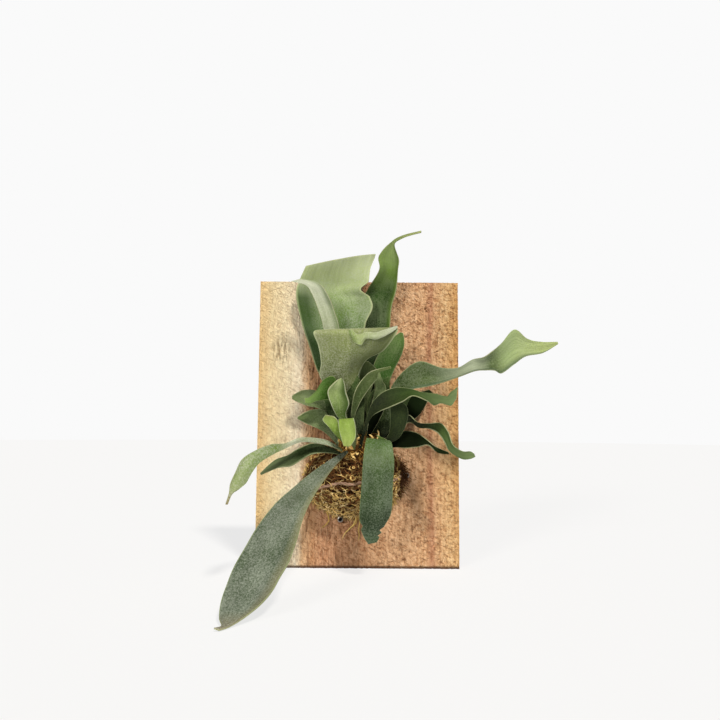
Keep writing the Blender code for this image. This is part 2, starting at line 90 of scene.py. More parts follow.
def add_node(tree, kind, settings=None, values=None, links=None, stops=()):
    """Add a shader node: settings are its properties, values and links go to its input sockets,
    and stops are the (place, sRGB hex) of a colour ramp."""
    made = tree.nodes.new("ShaderNode" + kind)
    for key, value in (settings or {}).items():
        setattr(made, key, value)
    fill_sockets(made, values, links)
    if stops:
        elements = made.color_ramp.elements
        while len(elements) < len(stops):
            elements.new(0.5)
        for element, (place, code) in zip(elements, stops):
            element.position = place
            element.color = srgb(code)
    return made


# Matt white laminate, lit a little from within so that it stays as pale as the backdrop.
table_white, tree, shader = new_material("matt white table")
fill_sockets(shader, {"Base Color": srgb("#7c7c7c"), "Roughness": 0.9, "Specular IOR Level": 0.0,
                      "Emission Color": (1.0, 1.0, 1.0, 1.0), "Emission Strength": 0.745})
table_mesh = bmesh.new()
bmesh.ops.create_circle(table_mesh, cap_ends=True, segments=96, radius=TABLE_RADIUS)
bmesh.ops.translate(table_mesh, vec=(0, 0, FLOOR), verts=table_mesh.verts)
table_data = bpy.data.meshes.new("table_top")
table_mesh.to_mesh(table_data)
table_mesh.free()
table_data.materials.append(table_white)
table = bpy.data.objects.new("table_top", table_data)
bpy.context.collection.objects.link(table)

camera_data = bpy.data.cameras.new("camera")
camera_data.sensor_width = 36.0
camera_data.lens = 35.0
camera_data.clip_start = 0.01
camera = bpy.data.objects.new("camera", camera_data)
bpy.context.collection.objects.link(camera)
look = Matrix.Rotation(radians(90 + LOOK_UP), 4, "X") @ Matrix.Rotation(radians(ROLL), 4, "Z")
camera.matrix_world = Matrix.Translation((VIEW_SIDE, FACE - VIEW_DISTANCE, FLOOR + VIEW_HEIGHT)) @ look
bpy.context.scene.camera = camera

# Both boxes are even and distant: the way each shines, its power and its angular size in degrees.
for name, aim, power, spread in (("left box", (0.56, 1.0, -0.35), 1.65, 14.0),
                                 ("right box", (-0.42, 1.0, -1.1), 3.0, 7.0)):
    box_data = bpy.data.lights.new(name, "SUN")
    box_data.energy = power
    box_data.angle = radians(spread)
    box_data.color = srgb("#fffaf2")[:3]
    box = bpy.data.objects.new(name, box_data)
    bpy.context.collection.objects.link(box)
    box.rotation_euler = Vector(aim).to_track_quat("-Z", "Y").to_euler()

studio = bpy.data.worlds.new("studio")
bpy.context.scene.world = studio
studio.use_nodes = True
walls = studio.node_tree
walls.nodes.clear()
backdrop = add_node(walls, "Background", values={"Color": srgb("#fafafa"), "Strength": 1.0})
fill_light = add_node(walls, "Background", values={"Color": srgb("#fbfcff"), "Strength": 0.13})
path = add_node(walls, "LightPath")
room = add_node(walls, "MixShader", links={0: path.outputs["Is Camera Ray"], 1: fill_light, 2: backdrop})
add_node(walls, "OutputWorld", links={"Surface": room})
bpy.context.scene.view_settings.view_transform = "Standard"
bpy.context.scene.view_settings.look = "None"


# The board: a 20 mm plank of western red cedar, 203 x 288 mm, left rough from the saw.
# The blade has torn the grain into ridges and short slanted pits; the left quarter is pale
# sapwood, the rest pinkish heartwood. A pocket for the hanger is routed into the back.
GRAIN_PITCH = 1.15 * MM            # spacing of the modelled relief
NEAR = 0.1 * MM                    # points this close to a plane lie on it
EDGE_WEAR = 1.6 * MM               # width of the worn edge
POCKET_HALF_WIDTH = 31 * MM
POCKET_LOW, POCKET_HIGH = 107 * MM, 129 * MM
POCKET_DEPTH = 6 * MM
HEART_EDGE, HEART_FADE = -62, 14   # x in mm where the heartwood begins, and how slowly
TORN_EDGE, TORN_FADE = 12, 30      # x in mm where the deepest ridges end
SPLIT_EDGE, SPLIT_SPREAD = -54, 12  # x in mm where the grain has split, and how far on each side
KNOT = (-79 * MM, -20 * MM, 73 * MM)


def add_piece(name, bm, materials, node=None):
    """Turn a finished bmesh into a piece on the one body; it may stand for a CAD node."""
    data = bpy.data.meshes.new(name)
    bm.to_mesh(data)
    bm.free()
    piece = bpy.data.objects.new(name, data)
    bpy.context.collection.objects.link(piece)
    for material in materials:
        data.materials.append(material)
    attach(piece, "root")
    if node:
        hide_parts(node)
    return piece


def held(value):
    """The value, held between 0 and 1."""
    return min(1.0, max(0.0, value))


def saw_relief(x, z):
    """Height of the torn grain at a place on the board, all in mm: 0 is the sound surface."""
    heart = held((x - HEART_EDGE) / HEART_FADE + 0.25 * noise.noise((x / 9, z / 40, 3.0)))
    torn_band = heart * held((TORN_EDGE - x) / TORN_FADE)
    ridges = noise.noise((x / 2.1, z / (16 - 7 * heart), 0.0)) * (0.20 + 0.30 * heart + 0.75 * torn_band)
    fuzz = noise.noise((x / 1.4, z / 2.6, 7.0)) * (0.28 + 0.22 * heart)
    slant_x = 0.82 * x + 0.57 * z
    slant_z = 0.82 * z - 0.57 * x
    tear = noise.noise((slant_x / 4.6, slant_z / 1.5, 11.0)) - 0.12
    tear_share = heart * (0.35 + 0.65 * held((x - 5) / 30))
    torn = -max(0.0, tear) * 2.6 * tear_share
    from_split = (x - SPLIT_EDGE + 5 * noise.noise((z / 30, 2.0, 8.0))) / SPLIT_SPREAD
    wander = 2.5 * noise.noise((x / 14, z / 11, 21.0))
    splits = -abs(noise.noise(((x + wander) / 2.6, z / 22, 5.0))) * 1.9 * exp(-from_split ** 2)
    return 1.5 * (ridges + fuzz + torn) + splits - 0.35


plank = bmesh.new()
columns = round((BOARD_HIGH.x - BOARD_LOW.x) / GRAIN_PITCH)
rows = round((BOARD_HIGH.z - BOARD_LOW.z) / GRAIN_PITCH)
bmesh.ops.create_grid(plank, x_segments=columns, y_segments=rows, size=0.5)
bmesh.ops.scale(plank, vec=(BOARD_HIGH.x - BOARD_LOW.x, BOARD_HIGH.z - BOARD_LOW.z, 1), verts=plank.verts)
bmesh.ops.rotate(plank, matrix=Matrix.Rotation(pi / 2, 3, "X"), verts=plank.verts)
bmesh.ops.translate(plank, vec=(0, FACE, 0), verts=plank.verts)
front = plank.faces[:]
copied = bmesh.ops.duplicate(plank, geom=plank.verts[:] + plank.edges[:] + front)
back = [part for part in copied["geom"] if isinstance(part, bmesh.types.BMFace)]
back_points = [part for part in copied["geom"] if isinstance(part, bmesh.types.BMVert)]
bmesh.ops.translate(plank, vec=(0, -FACE, 0), verts=back_points)
bmesh.ops.reverse_faces(plank, faces=back)
bmesh.ops.bridge_loops(plank, edges=[edge for edge in plank.edges if edge.is_boundary])
across = [edge for edge in plank.edges if abs(edge.verts[0].co.y - edge.verts[1].co.y) > 10 * MM]
bmesh.ops.subdivide_edges(plank, edges=across, cuts=5, use_grid_fill=True)
pocket = [face for face in plank.faces if face.calc_center_median().y > -NEAR
          and abs(face.calc_center_median().x) < POCKET_HALF_WIDTH
          and POCKET_LOW < face.calc_center_median().z < POCKET_HIGH]
sunk = bmesh.ops.extrude_face_region(plank, geom=pocket)["geom"]
bmesh.ops.delete(plank, geom=pocket, context="FACES_ONLY")
bmesh.ops.translate(plank, vec=(0, -POCKET_DEPTH, 0),
                    verts=[part for part in sunk if isinstance(part, bmesh.types.BMVert)])
for vert in plank.verts:
    x, y, z = vert.co
    edge = min(BOARD_HIGH.x - abs(x), BOARD_HIGH.z - abs(z))
    if y - FACE < NEAR:
        worn = max(0.0, 1.0 - edge / EDGE_WEAR) ** 2 * 0.7
        vert.co.y -= (saw_relief(x / MM, z / MM) - worn) * MM
    elif edge < NEAR < -y:
        rough = (0.25 * noise.noise((x * 400, y * 900, z * 180)) - 0.2) * MM
        if abs(z) > BOARD_HIGH.z - NEAR:
            vert.co.z += rough * (1 if z > 0 else -1)
        else:
            vert.co.x += rough * (1 if x > 0 else -1)

# Sawn cedar is dry and matt: what the eye reads is the banding of the growth lines, and the
# shadows and dark fibres of the torn grain.
cedar, tree, shader = new_material("rough-sawn western red cedar")
place = add_node(tree, "TexCoord").outputs["Object"]
axes = add_node(tree, "SeparateXYZ", links={0: place})
# Growth lines wander a few millimetres, so every band below is read at a wandering place.
slow = add_node(tree, "Mapping", values={"Scale": (2.0, 1.0, 0.35)}, links={"Vector": place})
wander = add_node(tree, "TexNoise", values={"Scale": 9.0, "Detail": 3.0}, links={"Vector": slow})
shift = add_node(tree, "Math", {"operation": "MULTIPLY_ADD"}, values={1: 22 * MM, 2: -11 * MM},
                 links={0: wander.outputs["Fac"]})
bent_x = add_node(tree, "Math", {"operation": "ADD"}, links={0: axes.outputs["X"], 1: shift})
span = add_node(tree, "MapRange", values={"From Min": BOARD_LOW.x, "From Max": BOARD_HIGH.x},
                links={"Value": bent_x})
bands = add_node(tree, "ValToRGB", links={"Fac": span}, stops=[
    (0.00, "#f0d096"), (0.05, "#f7e3b4"), (0.13, "#fbecc6"), (0.20, "#fdf0d4"), (0.235, "#ecc89e"),
    (0.27, "#d6aa80"), (0.33, "#dfb08a"), (0.45, "#e0b088"), (0.55, "#e8ba90"), (0.70, "#f4cca2"),
    (0.84, "#f0c69a"), (0.872, "#d29e7a"), (0.89, "#eec498"), (0.96, "#f8d4a0"), (1.00, "#eabb7c"),
])
# Fibres are 2.4 mm apart across the grain and 12 mm long; pits are 5 mm long and slant.
fibre_run = add_node(tree, "Mapping", values={"Scale": (420.0, 300.0, 80.0)}, links={"Vector": place})
grain = add_node(tree, "TexNoise", values={"Scale": 1.0, "Detail": 6.0, "Roughness": 0.65},
                 links={"Vector": fibre_run}).outputs["Fac"]
pit_run = add_node(tree, "Mapping", {"vector_type": "TEXTURE"}, links={"Vector": place},
                   values={"Scale": (5.2 * MM, 4.0 * MM, 2.4 * MM), "Rotation": (0.0, 0.6, 0.0)})
flecks = add_node(tree, "TexNoise", links={"Vector": pit_run},
                  values={"Scale": 1.0, "Detail": 4.0, "Roughness": 0.65, "Distortion": 0.8}).outputs["Fac"]
streaks = add_node(tree, "ValToRGB", links={"Fac": grain},
                   stops=[(0.30, "#a58a72"), (0.46, "#e6d8ca"), (0.62, "#ffffff"), (0.75, "#fffaee")])
# Painted shade: the slanted pits are darkened as the shadows inside them.
pit_shadows = add_node(tree, "ValToRGB", links={"Fac": flecks},
                  stops=[(0.30, "#86664e"), (0.42, "#d9c6b6"), (0.52, "#ffffff"), (1.0, "#ffffff")])
# Streaks and the painted pit shadows are faint in the sapwood, strong and dark in the heartwood.
streak_and_pit_shadow_share = add_node(tree, "MapRange", links={"Value": bent_x},
                       values={"From Min": -62 * MM, "From Max": -40 * MM, "To Min": 0.35, "To Max": 0.8})
toned = add_node(tree, "Mix", {"data_type": "RGBA", "blend_type": "MULTIPLY"},
                 links={0: streak_and_pit_shadow_share, 6: bands, 7: streaks}).outputs[2]
pit_shadowed = add_node(tree, "Mix", {"data_type": "RGBA", "blend_type": "MULTIPLY"},
                   links={0: streak_and_pit_shadow_share, 6: toned, 7: pit_shadows}).outputs[2]
# The knot: an oval 24 x 34 mm where the fibres show through as dark streaks.
knot_place = add_node(tree, "Mapping", {"vector_type": "TEXTURE"}, links={"Vector": place},
                      values={"Location": KNOT, "Scale": (12 * MM, 200 * MM, 17 * MM)})
knot = add_node(tree, "TexGradient", {"gradient_type": "SPHERICAL"}, links={0: knot_place})
knot_streaks = add_node(tree, "MapRange", values={"From Min": 0.56, "From Max": 0.44}, links={"Value": grain})
knot_edge = add_node(tree, "MapRange", values={"From Max": 0.5, "To Max": 0.65},
                     links={"Value": knot.outputs["Fac"]})
knot_share = add_node(tree, "Math", {"operation": "MULTIPLY"}, links={0: knot_edge, 1: knot_streaks})
knotted = add_node(tree, "Mix", {"data_type": "RGBA"}, values={7: srgb("#75603f")},
                   links={0: knot_share, 6: pit_shadowed}).outputs[2]
# Where sapwood meets heartwood the torn grain has opened into upright splits, painted dark as the shade
# inside them.
split_zone = add_node(tree, "ValToRGB", links={"Fac": span},
                      stops=[(0.19, "#000000"), (0.28, "#ffffff"), (0.45, "#c0c0c0"), (0.58, "#000000")])
split_run = add_node(tree, "Mapping", values={"Scale": (330.0, 200.0, 48.0)}, links={"Vector": place})
split_noise = add_node(tree, "TexNoise", values={"Scale": 1.0, "Detail": 3.0, "Distortion": 0.6},
                       links={"Vector": split_run})
split_shadow_lines = add_node(tree, "MapRange", values={"From Min": 0.47, "From Max": 0.40, "To Max": 0.6},
                       links={"Value": split_noise.outputs["Fac"]})
split_shadow_share = add_node(tree, "Math", {"operation": "MULTIPLY"}, links={0: split_zone, 1: split_shadow_lines})
split_shadowed = add_node(tree, "Mix", {"data_type": "RGBA"}, values={7: srgb("#8a6040")},
                      links={0: split_shadow_share, 6: knotted}).outputs[2]
# Painted shadow: the foot of the board is darkened 2 to 3 mm up, as the shadow line where it meets the table.
painted_foot_shadow = add_node(tree, "MapRange", links={"Value": axes.outputs["Z"]},
                values={"From Min": FLOOR + 3.5 * MM, "From Max": FLOOR + 1.8 * MM, "To Max": 0.85})
foot_shadowed = add_node(tree, "Mix", {"data_type": "RGBA"}, values={7: srgb("#3a1e10")},
                   links={0: painted_foot_shadow, 6: split_shadowed}).outputs[2]
fibre_height = add_node(tree, "Math", {"operation": "ADD"}, links={0: grain, 1: flecks})
fibre = add_node(tree, "Bump", values={"Strength": 1.0, "Distance": 4.6 * MM}, links={"Height": fibre_height})
fill_sockets(shader, {"Roughness": 0.85, "Specular IOR Level": 0.25},
             {"Base Color": foot_shadowed, "Normal": fibre})
board = add_piece("cedar_board", plank, [cedar], "board")
board.data.shade_smooth()
board.data.set_sharp_from_angle(angle=radians(55))


# The hanger: a stamped steel sawtooth strip in the pocket, held by two small steel nails.
# Zinc plating yellowed by chromate: satin, with faint drawing lines along the strip.
def plated_steel(name, code, roughness):
    """Rolled and plated steel: a fine brushed grain and dull spots 2 mm across."""
    material, tree, shader = new_material(name)
    place = add_node(tree, "TexCoord").outputs["Object"]
    drawing = add_node(tree, "Mapping", values={"Scale": (200, 2500, 2500)}, links={"Vector": place})
    drawn = add_node(tree, "TexNoise", values={"Scale": 1.0, "Detail": 3.0}, links={"Vector": drawing})
    dull = add_node(tree, "TexNoise", values={"Scale": 500.0, "Detail": 2.0}, links={"Vector": place})
    tone = add_node(tree, "ValToRGB", links={"Fac": dull}, stops=[(0.3, code), (0.7, "#8f8a82")])
    spread = add_node(tree, "MapRange", values={"To Min": roughness - 0.1, "To Max": roughness + 0.15},
                      links={"Value": dull.outputs["Fac"]})
    lines = add_node(tree, "Bump", values={"Strength": 0.3, "Distance": 0.1 * MM},
                     links={"Height": drawn.outputs["Fac"]})
    fill_sockets(shader, {"Metallic": 1.0}, {"Base Color": tone, "Roughness": spread, "Normal": lines})
    return material


def refinish(node, material):
    """Give a carried-over CAD node its real finish."""
    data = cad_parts[node].data
    data.materials.clear()
    data.materials.append(material)


refinish("sawtooth_hanger", plated_steel("yellow-passivated steel strip", "#c8ad72", 0.35))
nail_zinc = plated_steel("bright zinc-plated steel", "#a8a6a2", 0.35)
for side in ("left", "right"):
    refinish(f"hanger_nail_{side}", nail_zinc)


# The root ball: matted black-brown roots and bark under the moss, pressed flat on the board.
# It is hidden by the moss, so the CAD solid stays, with a fibrous finish.
def fibrous(name, dark, light, pitch):
    """Dry plant fibre, matt and dark in its gaps: streaks pitch mm apart, each strand its own tone."""
    material, tree, shader = new_material(name)
    place = add_node(tree, "TexCoord").outputs["Object"]
    matted = add_node(tree, "TexNoise", values={"Scale": 1000 / pitch, "Detail": 5.0, "Distortion": 1.5},
                      links={"Vector": place})
    strand = add_node(tree, "NewGeometry").outputs["Random Per Island"]
    mixed = add_node(tree, "Math", {"operation": "MULTIPLY_ADD"}, values={1: 0.45, 2: 0.0},
                     links={0: matted.outputs["Fac"]})
    tone = add_node(tree, "Math", {"operation": "MULTIPLY_ADD"}, values={1: 0.75},
                    links={0: strand, 2: mixed})
    colour = add_node(tree, "ValToRGB", links={"Fac": tone}, stops=[(0.12, dark), (0.95, light)])
    rough = add_node(tree, "Bump", values={"Strength": 0.7, "Distance": 0.2 * pitch * MM},
                     links={"Height": matted.outputs["Fac"]})
    fill_sockets(shader, {"Roughness": 0.95, "Specular IOR Level": 0.2},
                 {"Base Color": colour, "Normal": rough})
    return material


refinish("root_ball", fibrous("matted fern roots", "#1c120b", "#4a3320", 1.5))


# The moss: dried sphagnum, packed by hand round the roots into a mound 92 mm wide.
# A dark core shows between nearly three thousand loose, curly, golden-brown strands, 0.7 mm thick; its
# near-black is painted shade between the strands.
MOSS_LOW, MOSS_HIGH = (Vector(corner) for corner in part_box("moss_mound"))
MOSS_CENTRE = Vector(((MOSS_LOW.x + MOSS_HIGH.x) / 2, FACE, (MOSS_LOW.z + MOSS_HIGH.z) / 2))
MOSS_HALF = Vector(((MOSS_HIGH.x - MOSS_LOW.x) / 2, FACE - MOSS_LOW.y, (MOSS_HIGH.z - MOSS_LOW.z) / 2))
STRAND_STEPS = 7


def on_mound(direction, lift=0.0):
    """A point over the mound in a direction from its middle, lifted by a length."""
    grown = Vector(half + lift for half in MOSS_HALF)
    return MOSS_CENTRE + Vector(part * half for part, half in zip(direction, grown))


core = bmesh.new()
bmesh.ops.create_icosphere(core, subdivisions=5, radius=1.0)
bmesh.ops.bisect_plane(core, geom=core.verts[:] + core.edges[:] + core.faces[:], plane_co=(0, -0.01, 0),
                       plane_no=(0, 1, 0), clear_outer=True)
bmesh.ops.holes_fill(core, edges=[edge for edge in core.edges if edge.is_boundary])
for vert in core.verts:
    lump = sum(size * noise.noise(vert.co * pitch) for size, pitch in ((3.2, 3.0), (2.0, 8.0), (0.8, 24.0)))
    rise = min(1.0, -vert.co.y * 6)
    vert.co = on_mound(vert.co, (lump * rise - 2.6) * MM)
    vert.co.y = min(vert.co.y, FACE - 0.2 * MM)
# Painted shade: the core is near-black as the shade between the strands.
strand_shade = fibrous("sphagnum core in painted shade", "#0c0703", "#3c2610", 1.2)
moss_core = add_piece("moss_core", core, [strand_shade], "moss_mound")
moss_core.data.shade_smooth()


def tubes(name, routes, radius, material, node=None, rounding=0, taper=0.35):
    """One piece from many thin tubes that follow lists of points and thin out to their ends."""
    curve = bpy.data.curves.new(name, "CURVE")
    curve.dimensions = "3D"
    curve.bevel_depth = radius
    curve.bevel_resolution = rounding
    curve.use_fill_caps = True
    for route in routes:
        spline = curve.splines.new("POLY")
        spline.points.add(len(route) - 1)
        for step, (point, here) in enumerate(zip(spline.points, route)):
            point.co = (*here, 1.0)
            fade = abs(2 * step / (len(route) - 1) - 1) ** 3
            point.radius = 1 - (1 - taper) * fade
    drawn = bpy.data.objects.new(name + "_route", curve)
    bpy.context.collection.objects.link(drawn)
    seen_by = bpy.context.evaluated_depsgraph_get()
    tube_data = bpy.data.meshes.new_from_object(drawn.evaluated_get(seen_by))
    bpy.data.objects.remove(drawn)
    bm = bmesh.new()
    bm.from_mesh(tube_data)
    bmesh.ops.remove_doubles(bm, verts=bm.verts, dist=0.000001)
    bpy.data.meshes.remove(tube_data)
    add_piece(name, bm, [material], node).data.shade_smooth()


def wild(chance, x=1.0, y=1.0, z=1.0):
    """A random vector with its own spread along each axis."""
    return Vector((chance.gauss(0, x), chance.gauss(0, y), chance.gauss(0, z)))


def moss_strands(count, seed, length, lift, curl, low=0.0):
    """Routes of loose strands that curl over the mound; a negative low puts more at its foot."""
    chance = Random(seed)
    routes = []
    while len(routes) < count:
        direction = Vector((chance.gauss(0, 1), -abs(chance.gauss(0, 0.9)) - 0.02, chance.gauss(low, 1)))
        direction.normalize()
        heading = wild(chance, y=0.5)
        bend = chance.uniform(-curl, curl)
        reach = chance.uniform(*length) / STRAND_STEPS
        rise = chance.uniform(*lift)
        route = []
        for step in range(STRAND_STEPS + 1):
            arch = sin(pi * step / STRAND_STEPS) * 1.5 + chance.gauss(0, 0.25)
            route.append(on_mound(direction, (rise + arch) * MM))
            heading = (heading - heading.dot(direction) * direction).normalized()
            direction = (direction + heading * reach * MM / MOSS_HALF.z).normalized()
            heading = Matrix.Rotation(bend + chance.gauss(0, 0.35), 3, direction) @ heading
        if max(point.y for point in route) < FACE - 0.4 * MM:
            routes.append(route)
    return routes


def fringe(count, seed, low, high, reach, drop, height=(0.8, 5.0)):
    """Strands that stray from the mound's foot onto the board; low and high bound their angle,
    height how far out they start."""
    chance = Random(seed)
    routes = []
    for _ in range(count):
        turn = radians(chance.uniform(low, high))
        heading = Vector((cos(turn), 0, sin(turn)))
        point = on_mound(Vector((cos(turn), -0.12, sin(turn))).normalized(), -2 * MM)
        point.y = FACE - chance.uniform(*height) * MM
        route = []
        for _ in range(STRAND_STEPS + 1):
            route.append(point.copy())
            point += heading * chance.uniform(*reach) / STRAND_STEPS * MM
            point.y = min(point.y + chance.uniform(-0.4, 0.9) * MM, FACE - 0.6 * MM)
            point.z -= drop / STRAND_STEPS * MM
            heading = Matrix.Rotation(chance.gauss(0, 0.7), 3, "Y") @ heading
        routes.append(route)
    return routes


golden = fibrous("dry golden sphagnum", "#2e1b07", "#f4cf80", 1.0)
brown = fibrous("brown sphagnum", "#1d1008", "#8d5f34", 1.0)
bleached = fibrous("bleached sphagnum", "#a07c3c", "#f4dca4", 1.0)
rooty = fibrous("dark root fibres", "#1a0f07", "#6a4526", 1.0)
yellow = fibrous("yellow sphagnum", "#a8842f", "#e6c878", 1.0)
# Four long yellow strands hang from the foot of the mound (x, out, z in mm).
stray = [
    [(-1, 9, -84), (-1, 7, -90), (-2, 5, -96), (-4, 3, -101), (-8, 2, -105), (-12, 1.5, -109),
     (-15, 1.2, -115)],
    [(2, 9, -88), (3, 7, -94), (2, 4, -100), (1, 2, -106), (2, 1.5, -111), (1, 1.2, -117)],
    [(-31, 7, -86), (-29, 5, -92), (-28, 3, -97), (-31, 2, -101), (-36, 1.2, -105)],
    [(1, 8, -86), (0, 6, -93), (-1, 3, -99), (-5, 1.5, -103), (-9, 1.2, -106)],
]
stray_routes = [[Vector((x * MM, FACE - out * MM, z * MM)) for x, out, z in line] for line in stray]
for name, routes, radius, moss in (
    ("moss_strands_brown", moss_strands(1500, 11, (7, 16), (-2.6, 1.2), 0.7), 0.34, brown),
    ("moss_strands_golden", moss_strands(1050, 23, (4, 11), (-1.6, 2.8), 1.0, -0.5), 0.35, golden),
    ("moss_strands_bleached", moss_strands(280, 37, (3, 8), (0.3, 3.2), 1.2, -0.9), 0.34, bleached),
    ("moss_fringe", fringe(230, 5, 200, 290, (4, 15), 1.5)
     + fringe(170, 6, 288, 350, (4, 17), 1.5), 0.32, golden),
    ("moss_fringe_brown", fringe(240, 8, 195, 365, (3, 13), 1.0), 0.32, brown),
    ("root_fibres", fringe(130, 9, -24, 34, (5, 21), 3.0, (1.0, 8.0))
     + fringe(70, 12, -6, 18, (8, 22), 3.0, (6.0, 11.0)), 0.28, rooty),
    ("moss_strays", stray_routes, 0.6, yellow),
):
    tubes(name, routes, radius * MM, moss)


# The screws: three pan-head wood screws, 6.4 mm across the head, driven into the board round the
# moss. Zinc-plated steel gone dull; the round drive recess is deep, painted near-black inside as shade.
RECESS = 1.82 * MM
HEAD_PROFILE = [(0, 2.6), (1.5, 2.8), (1.8, 5.6), (2.1, 6.0), (2.5, 5.9), (2.95, 5.3), (3.2, 4.5), (3.1, 4.0),
                (1.7, 4.0), (1.7, 3.4), (1.9, 3.1), (1.7, 2.8), (1.7, 0.2), (0, 0.2)]   # radius, out


def lathe(bm, profile, x, z):
    """Turn a (radius, out) profile in mm about an axis that points out of the board."""
    start = [bm.verts.new((x + radius * MM, FACE - out * MM, z)) for radius, out in profile]
    line = [bm.edges.new(pair) for pair in zip(start, start[1:])]
    bmesh.ops.spin(bm, geom=start + line, cent=(x, 0, z), axis=(0, 1, 0), angle=2 * pi, steps=40,
                   use_merge=True)
    bmesh.ops.remove_doubles(bm, verts=bm.verts, dist=0.000005)
    bmesh.ops.recalc_face_normals(bm, faces=bm.faces)


dulled = plated_steel("dulled zinc-plated steel", "#b8b4ae", 0.3)
# Painted shade: the inside of the drive recess is near-black as the shade in it.
recess_shade, tree, shader = new_material("painted shade in the drive recess")
fill_sockets(shader, {"Base Color": srgb("#0c0a09"), "Roughness": 0.9})
SCREW_PLACES = {}
for side in ("left", "right", "bottom"):
    low, high = (Vector(corner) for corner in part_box(f"anchor_screw_{side}"))
    axis = (low + high) / 2
    SCREW_PLACES[side] = axis
    screw = bmesh.new()
    lathe(screw, HEAD_PROFILE, axis.x, axis.z)
    for face in screw.faces:
        from_axis = face.calc_center_median() - axis
        from_axis.y = 0
        face.material_index = 1 if from_axis.length < RECESS and face.normal.y < 0.9 else 0
    turned = add_piece(f"screw_{side}", screw, [dulled, recess_shade], f"anchor_screw_{side}")
    turned.data.shade_smooth()
    turned.data.set_sharp_from_angle(angle=radians(35))


# The twine: two-ply jute, 3 mm thick, drawn tight over the moss from screw to screw and wound
# two and a half times round each shank. Dull and hairy: loose fibres stand off the plies.
TWINE_LOW, TWINE_HIGH = (Vector(corner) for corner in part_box("binding_twine"))
TWINE_Z = -57 * MM
TWINE_BEND = 20 * MM               # beyond this x, the twine slants towards its screws
TWINE_ROOM = 2.1 * MM              # from the mound to the middle of the twine
PLY = 0.85 * MM                    # a ply's radius
LAY = 9 * MM                       # length of one turn of the plies
WINDING = 2.6 * MM                 # radius of the turns round a shank


def twine_place(turn):
    """Where the middle of the twine runs; turn goes from 0 at the left screw to 1 at the right."""
    x = TWINE_LOW.x + (TWINE_HIGH.x - TWINE_LOW.x) * turn
    to_right = max(0.0, (x - TWINE_BEND) / (TWINE_HIGH.x - TWINE_BEND))
    to_left = max(0.0, (x + TWINE_BEND) / (TWINE_LOW.x + TWINE_BEND))
    right_rise = (SCREW_PLACES["right"].z - TWINE_Z) * to_right
    z = TWINE_Z + right_rise + (SCREW_PLACES["left"].z - TWINE_Z) * to_left
    across = (x - MOSS_CENTRE.x) / (MOSS_HALF.x + TWINE_ROOM)
    up = (z - MOSS_CENTRE.z) / (MOSS_HALF.z + TWINE_ROOM)
    out = (MOSS_HALF.y + TWINE_ROOM) * sqrt(max(0.0, 1 - across ** 2 - up ** 2))
    sway = 0.8 * sin(x / (7 * MM)) + 0.5 * sin(x / (3.1 * MM))
    return Vector((x, FACE - max(out, 1.8 * MM), z + sway * MM))


middle = [twine_place(0.5 - 0.5 * cos(pi * step / 160)) for step in range(161)]
plies = [[], []]
travelled = 0.0
for before, here in zip(middle, middle[1:]):
    travelled += (here - before).length
    run = (here - before).normalized()
    side = run.cross((0, 0, 1)).normalized()
    for ply, phase in zip(plies, (0.0, pi)):
        turn = 2 * pi * travelled / LAY + phase
        ply.append(here + (side * cos(turn) + run.cross(side) * sin(turn)) * PLY * 0.85)
for side in ("left", "right"):
    shank = SCREW_PLACES[side]
    winding = []
    for step in range(60):
        turn = 2 * pi * step / 24
        winding.append(Vector((shank.x + WINDING * cos(turn), FACE - (1.1 + 2.0 * step / 60) * MM,
                               shank.z + WINDING * sin(turn))))
    plies.append(winding)
jute = fibrous("two-ply jute twine", "#6b4d3a", "#b5947c", 0.6)
tubes("twine_plies", plies, PLY, jute, "binding_twine", rounding=2, taper=0.9)
chance = Random(31)
hairs = []
for _ in range(160):
    start = chance.choice(middle[20:140])
    heading = Vector((chance.gauss(0, 1), -abs(chance.gauss(0, 0.6)), chance.gauss(0, 0.8))).normalized()
    length = chance.uniform(1.2, 3.2) * MM
    sag = Vector((0, 0, -0.3 * length))
    hairs.append([start + heading * length * part + sag * part ** 2 for part in (0.3, 0.6, 1.0)])
tubes("twine_hairs", hairs, 0.07 * MM, jute, taper=0.5)


# The crown: the fern's short creeping stem, furred with brown scales, with the dry yellow bases
# of old leaves left on it. Every frond grows from it.
CROWN_LOW, CROWN_HIGH = (Vector(corner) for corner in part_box("crown_rhizome"))
CROWN_CENTRE = (CROWN_LOW + CROWN_HIGH) / 2
CROWN_HALF = (CROWN_HIGH - CROWN_LOW) / 2


def on_crown(direction, share=1.0):
    """A point in a direction from the crown's middle, at a share of the way to its surface."""
    return CROWN_CENTRE + Vector(part * half * share for part, half in zip(direction, CROWN_HALF))


stem = bmesh.new()
bmesh.ops.create_icosphere(stem, subdivisions=5, radius=1.0)
for vert in stem.verts:
    lump = 0.98 + sum(size * noise.noise(vert.co * pitch)
                      for size, pitch in ((0.1, 2.4), (0.06, 7), (0.04, 20)))
    vert.co = on_crown(vert.co * lump)
scaly = fibrous("scaly brown rhizome", "#1b0f06", "#6e4a1c", 1.4)
rhizome = add_piece("rhizome", stem, [scaly], "crown_rhizome")
rhizome.data.shade_smooth()
chance = Random(47)
fur = []
for _ in range(1100):
    direction = wild(chance).normalized()
    start = on_crown(direction, 0.93)
    lean = (direction + wild(chance, 0.6, 0.6, 0.6)).normalized()
    length = chance.uniform(2.0, 5.0) * MM
    droop = Vector((0, 0, -0.35 * length))
    fur.append([start + lean * length * part + droop * part ** 2 for part in (0.0, 0.35, 0.7, 1.0)])
golden_scales = fibrous("golden rhizome scales", "#4a2f10", "#d8a850", 1.0)
tubes("rhizome_scales", fur, 0.22 * MM, golden_scales)
leaf_bases = []
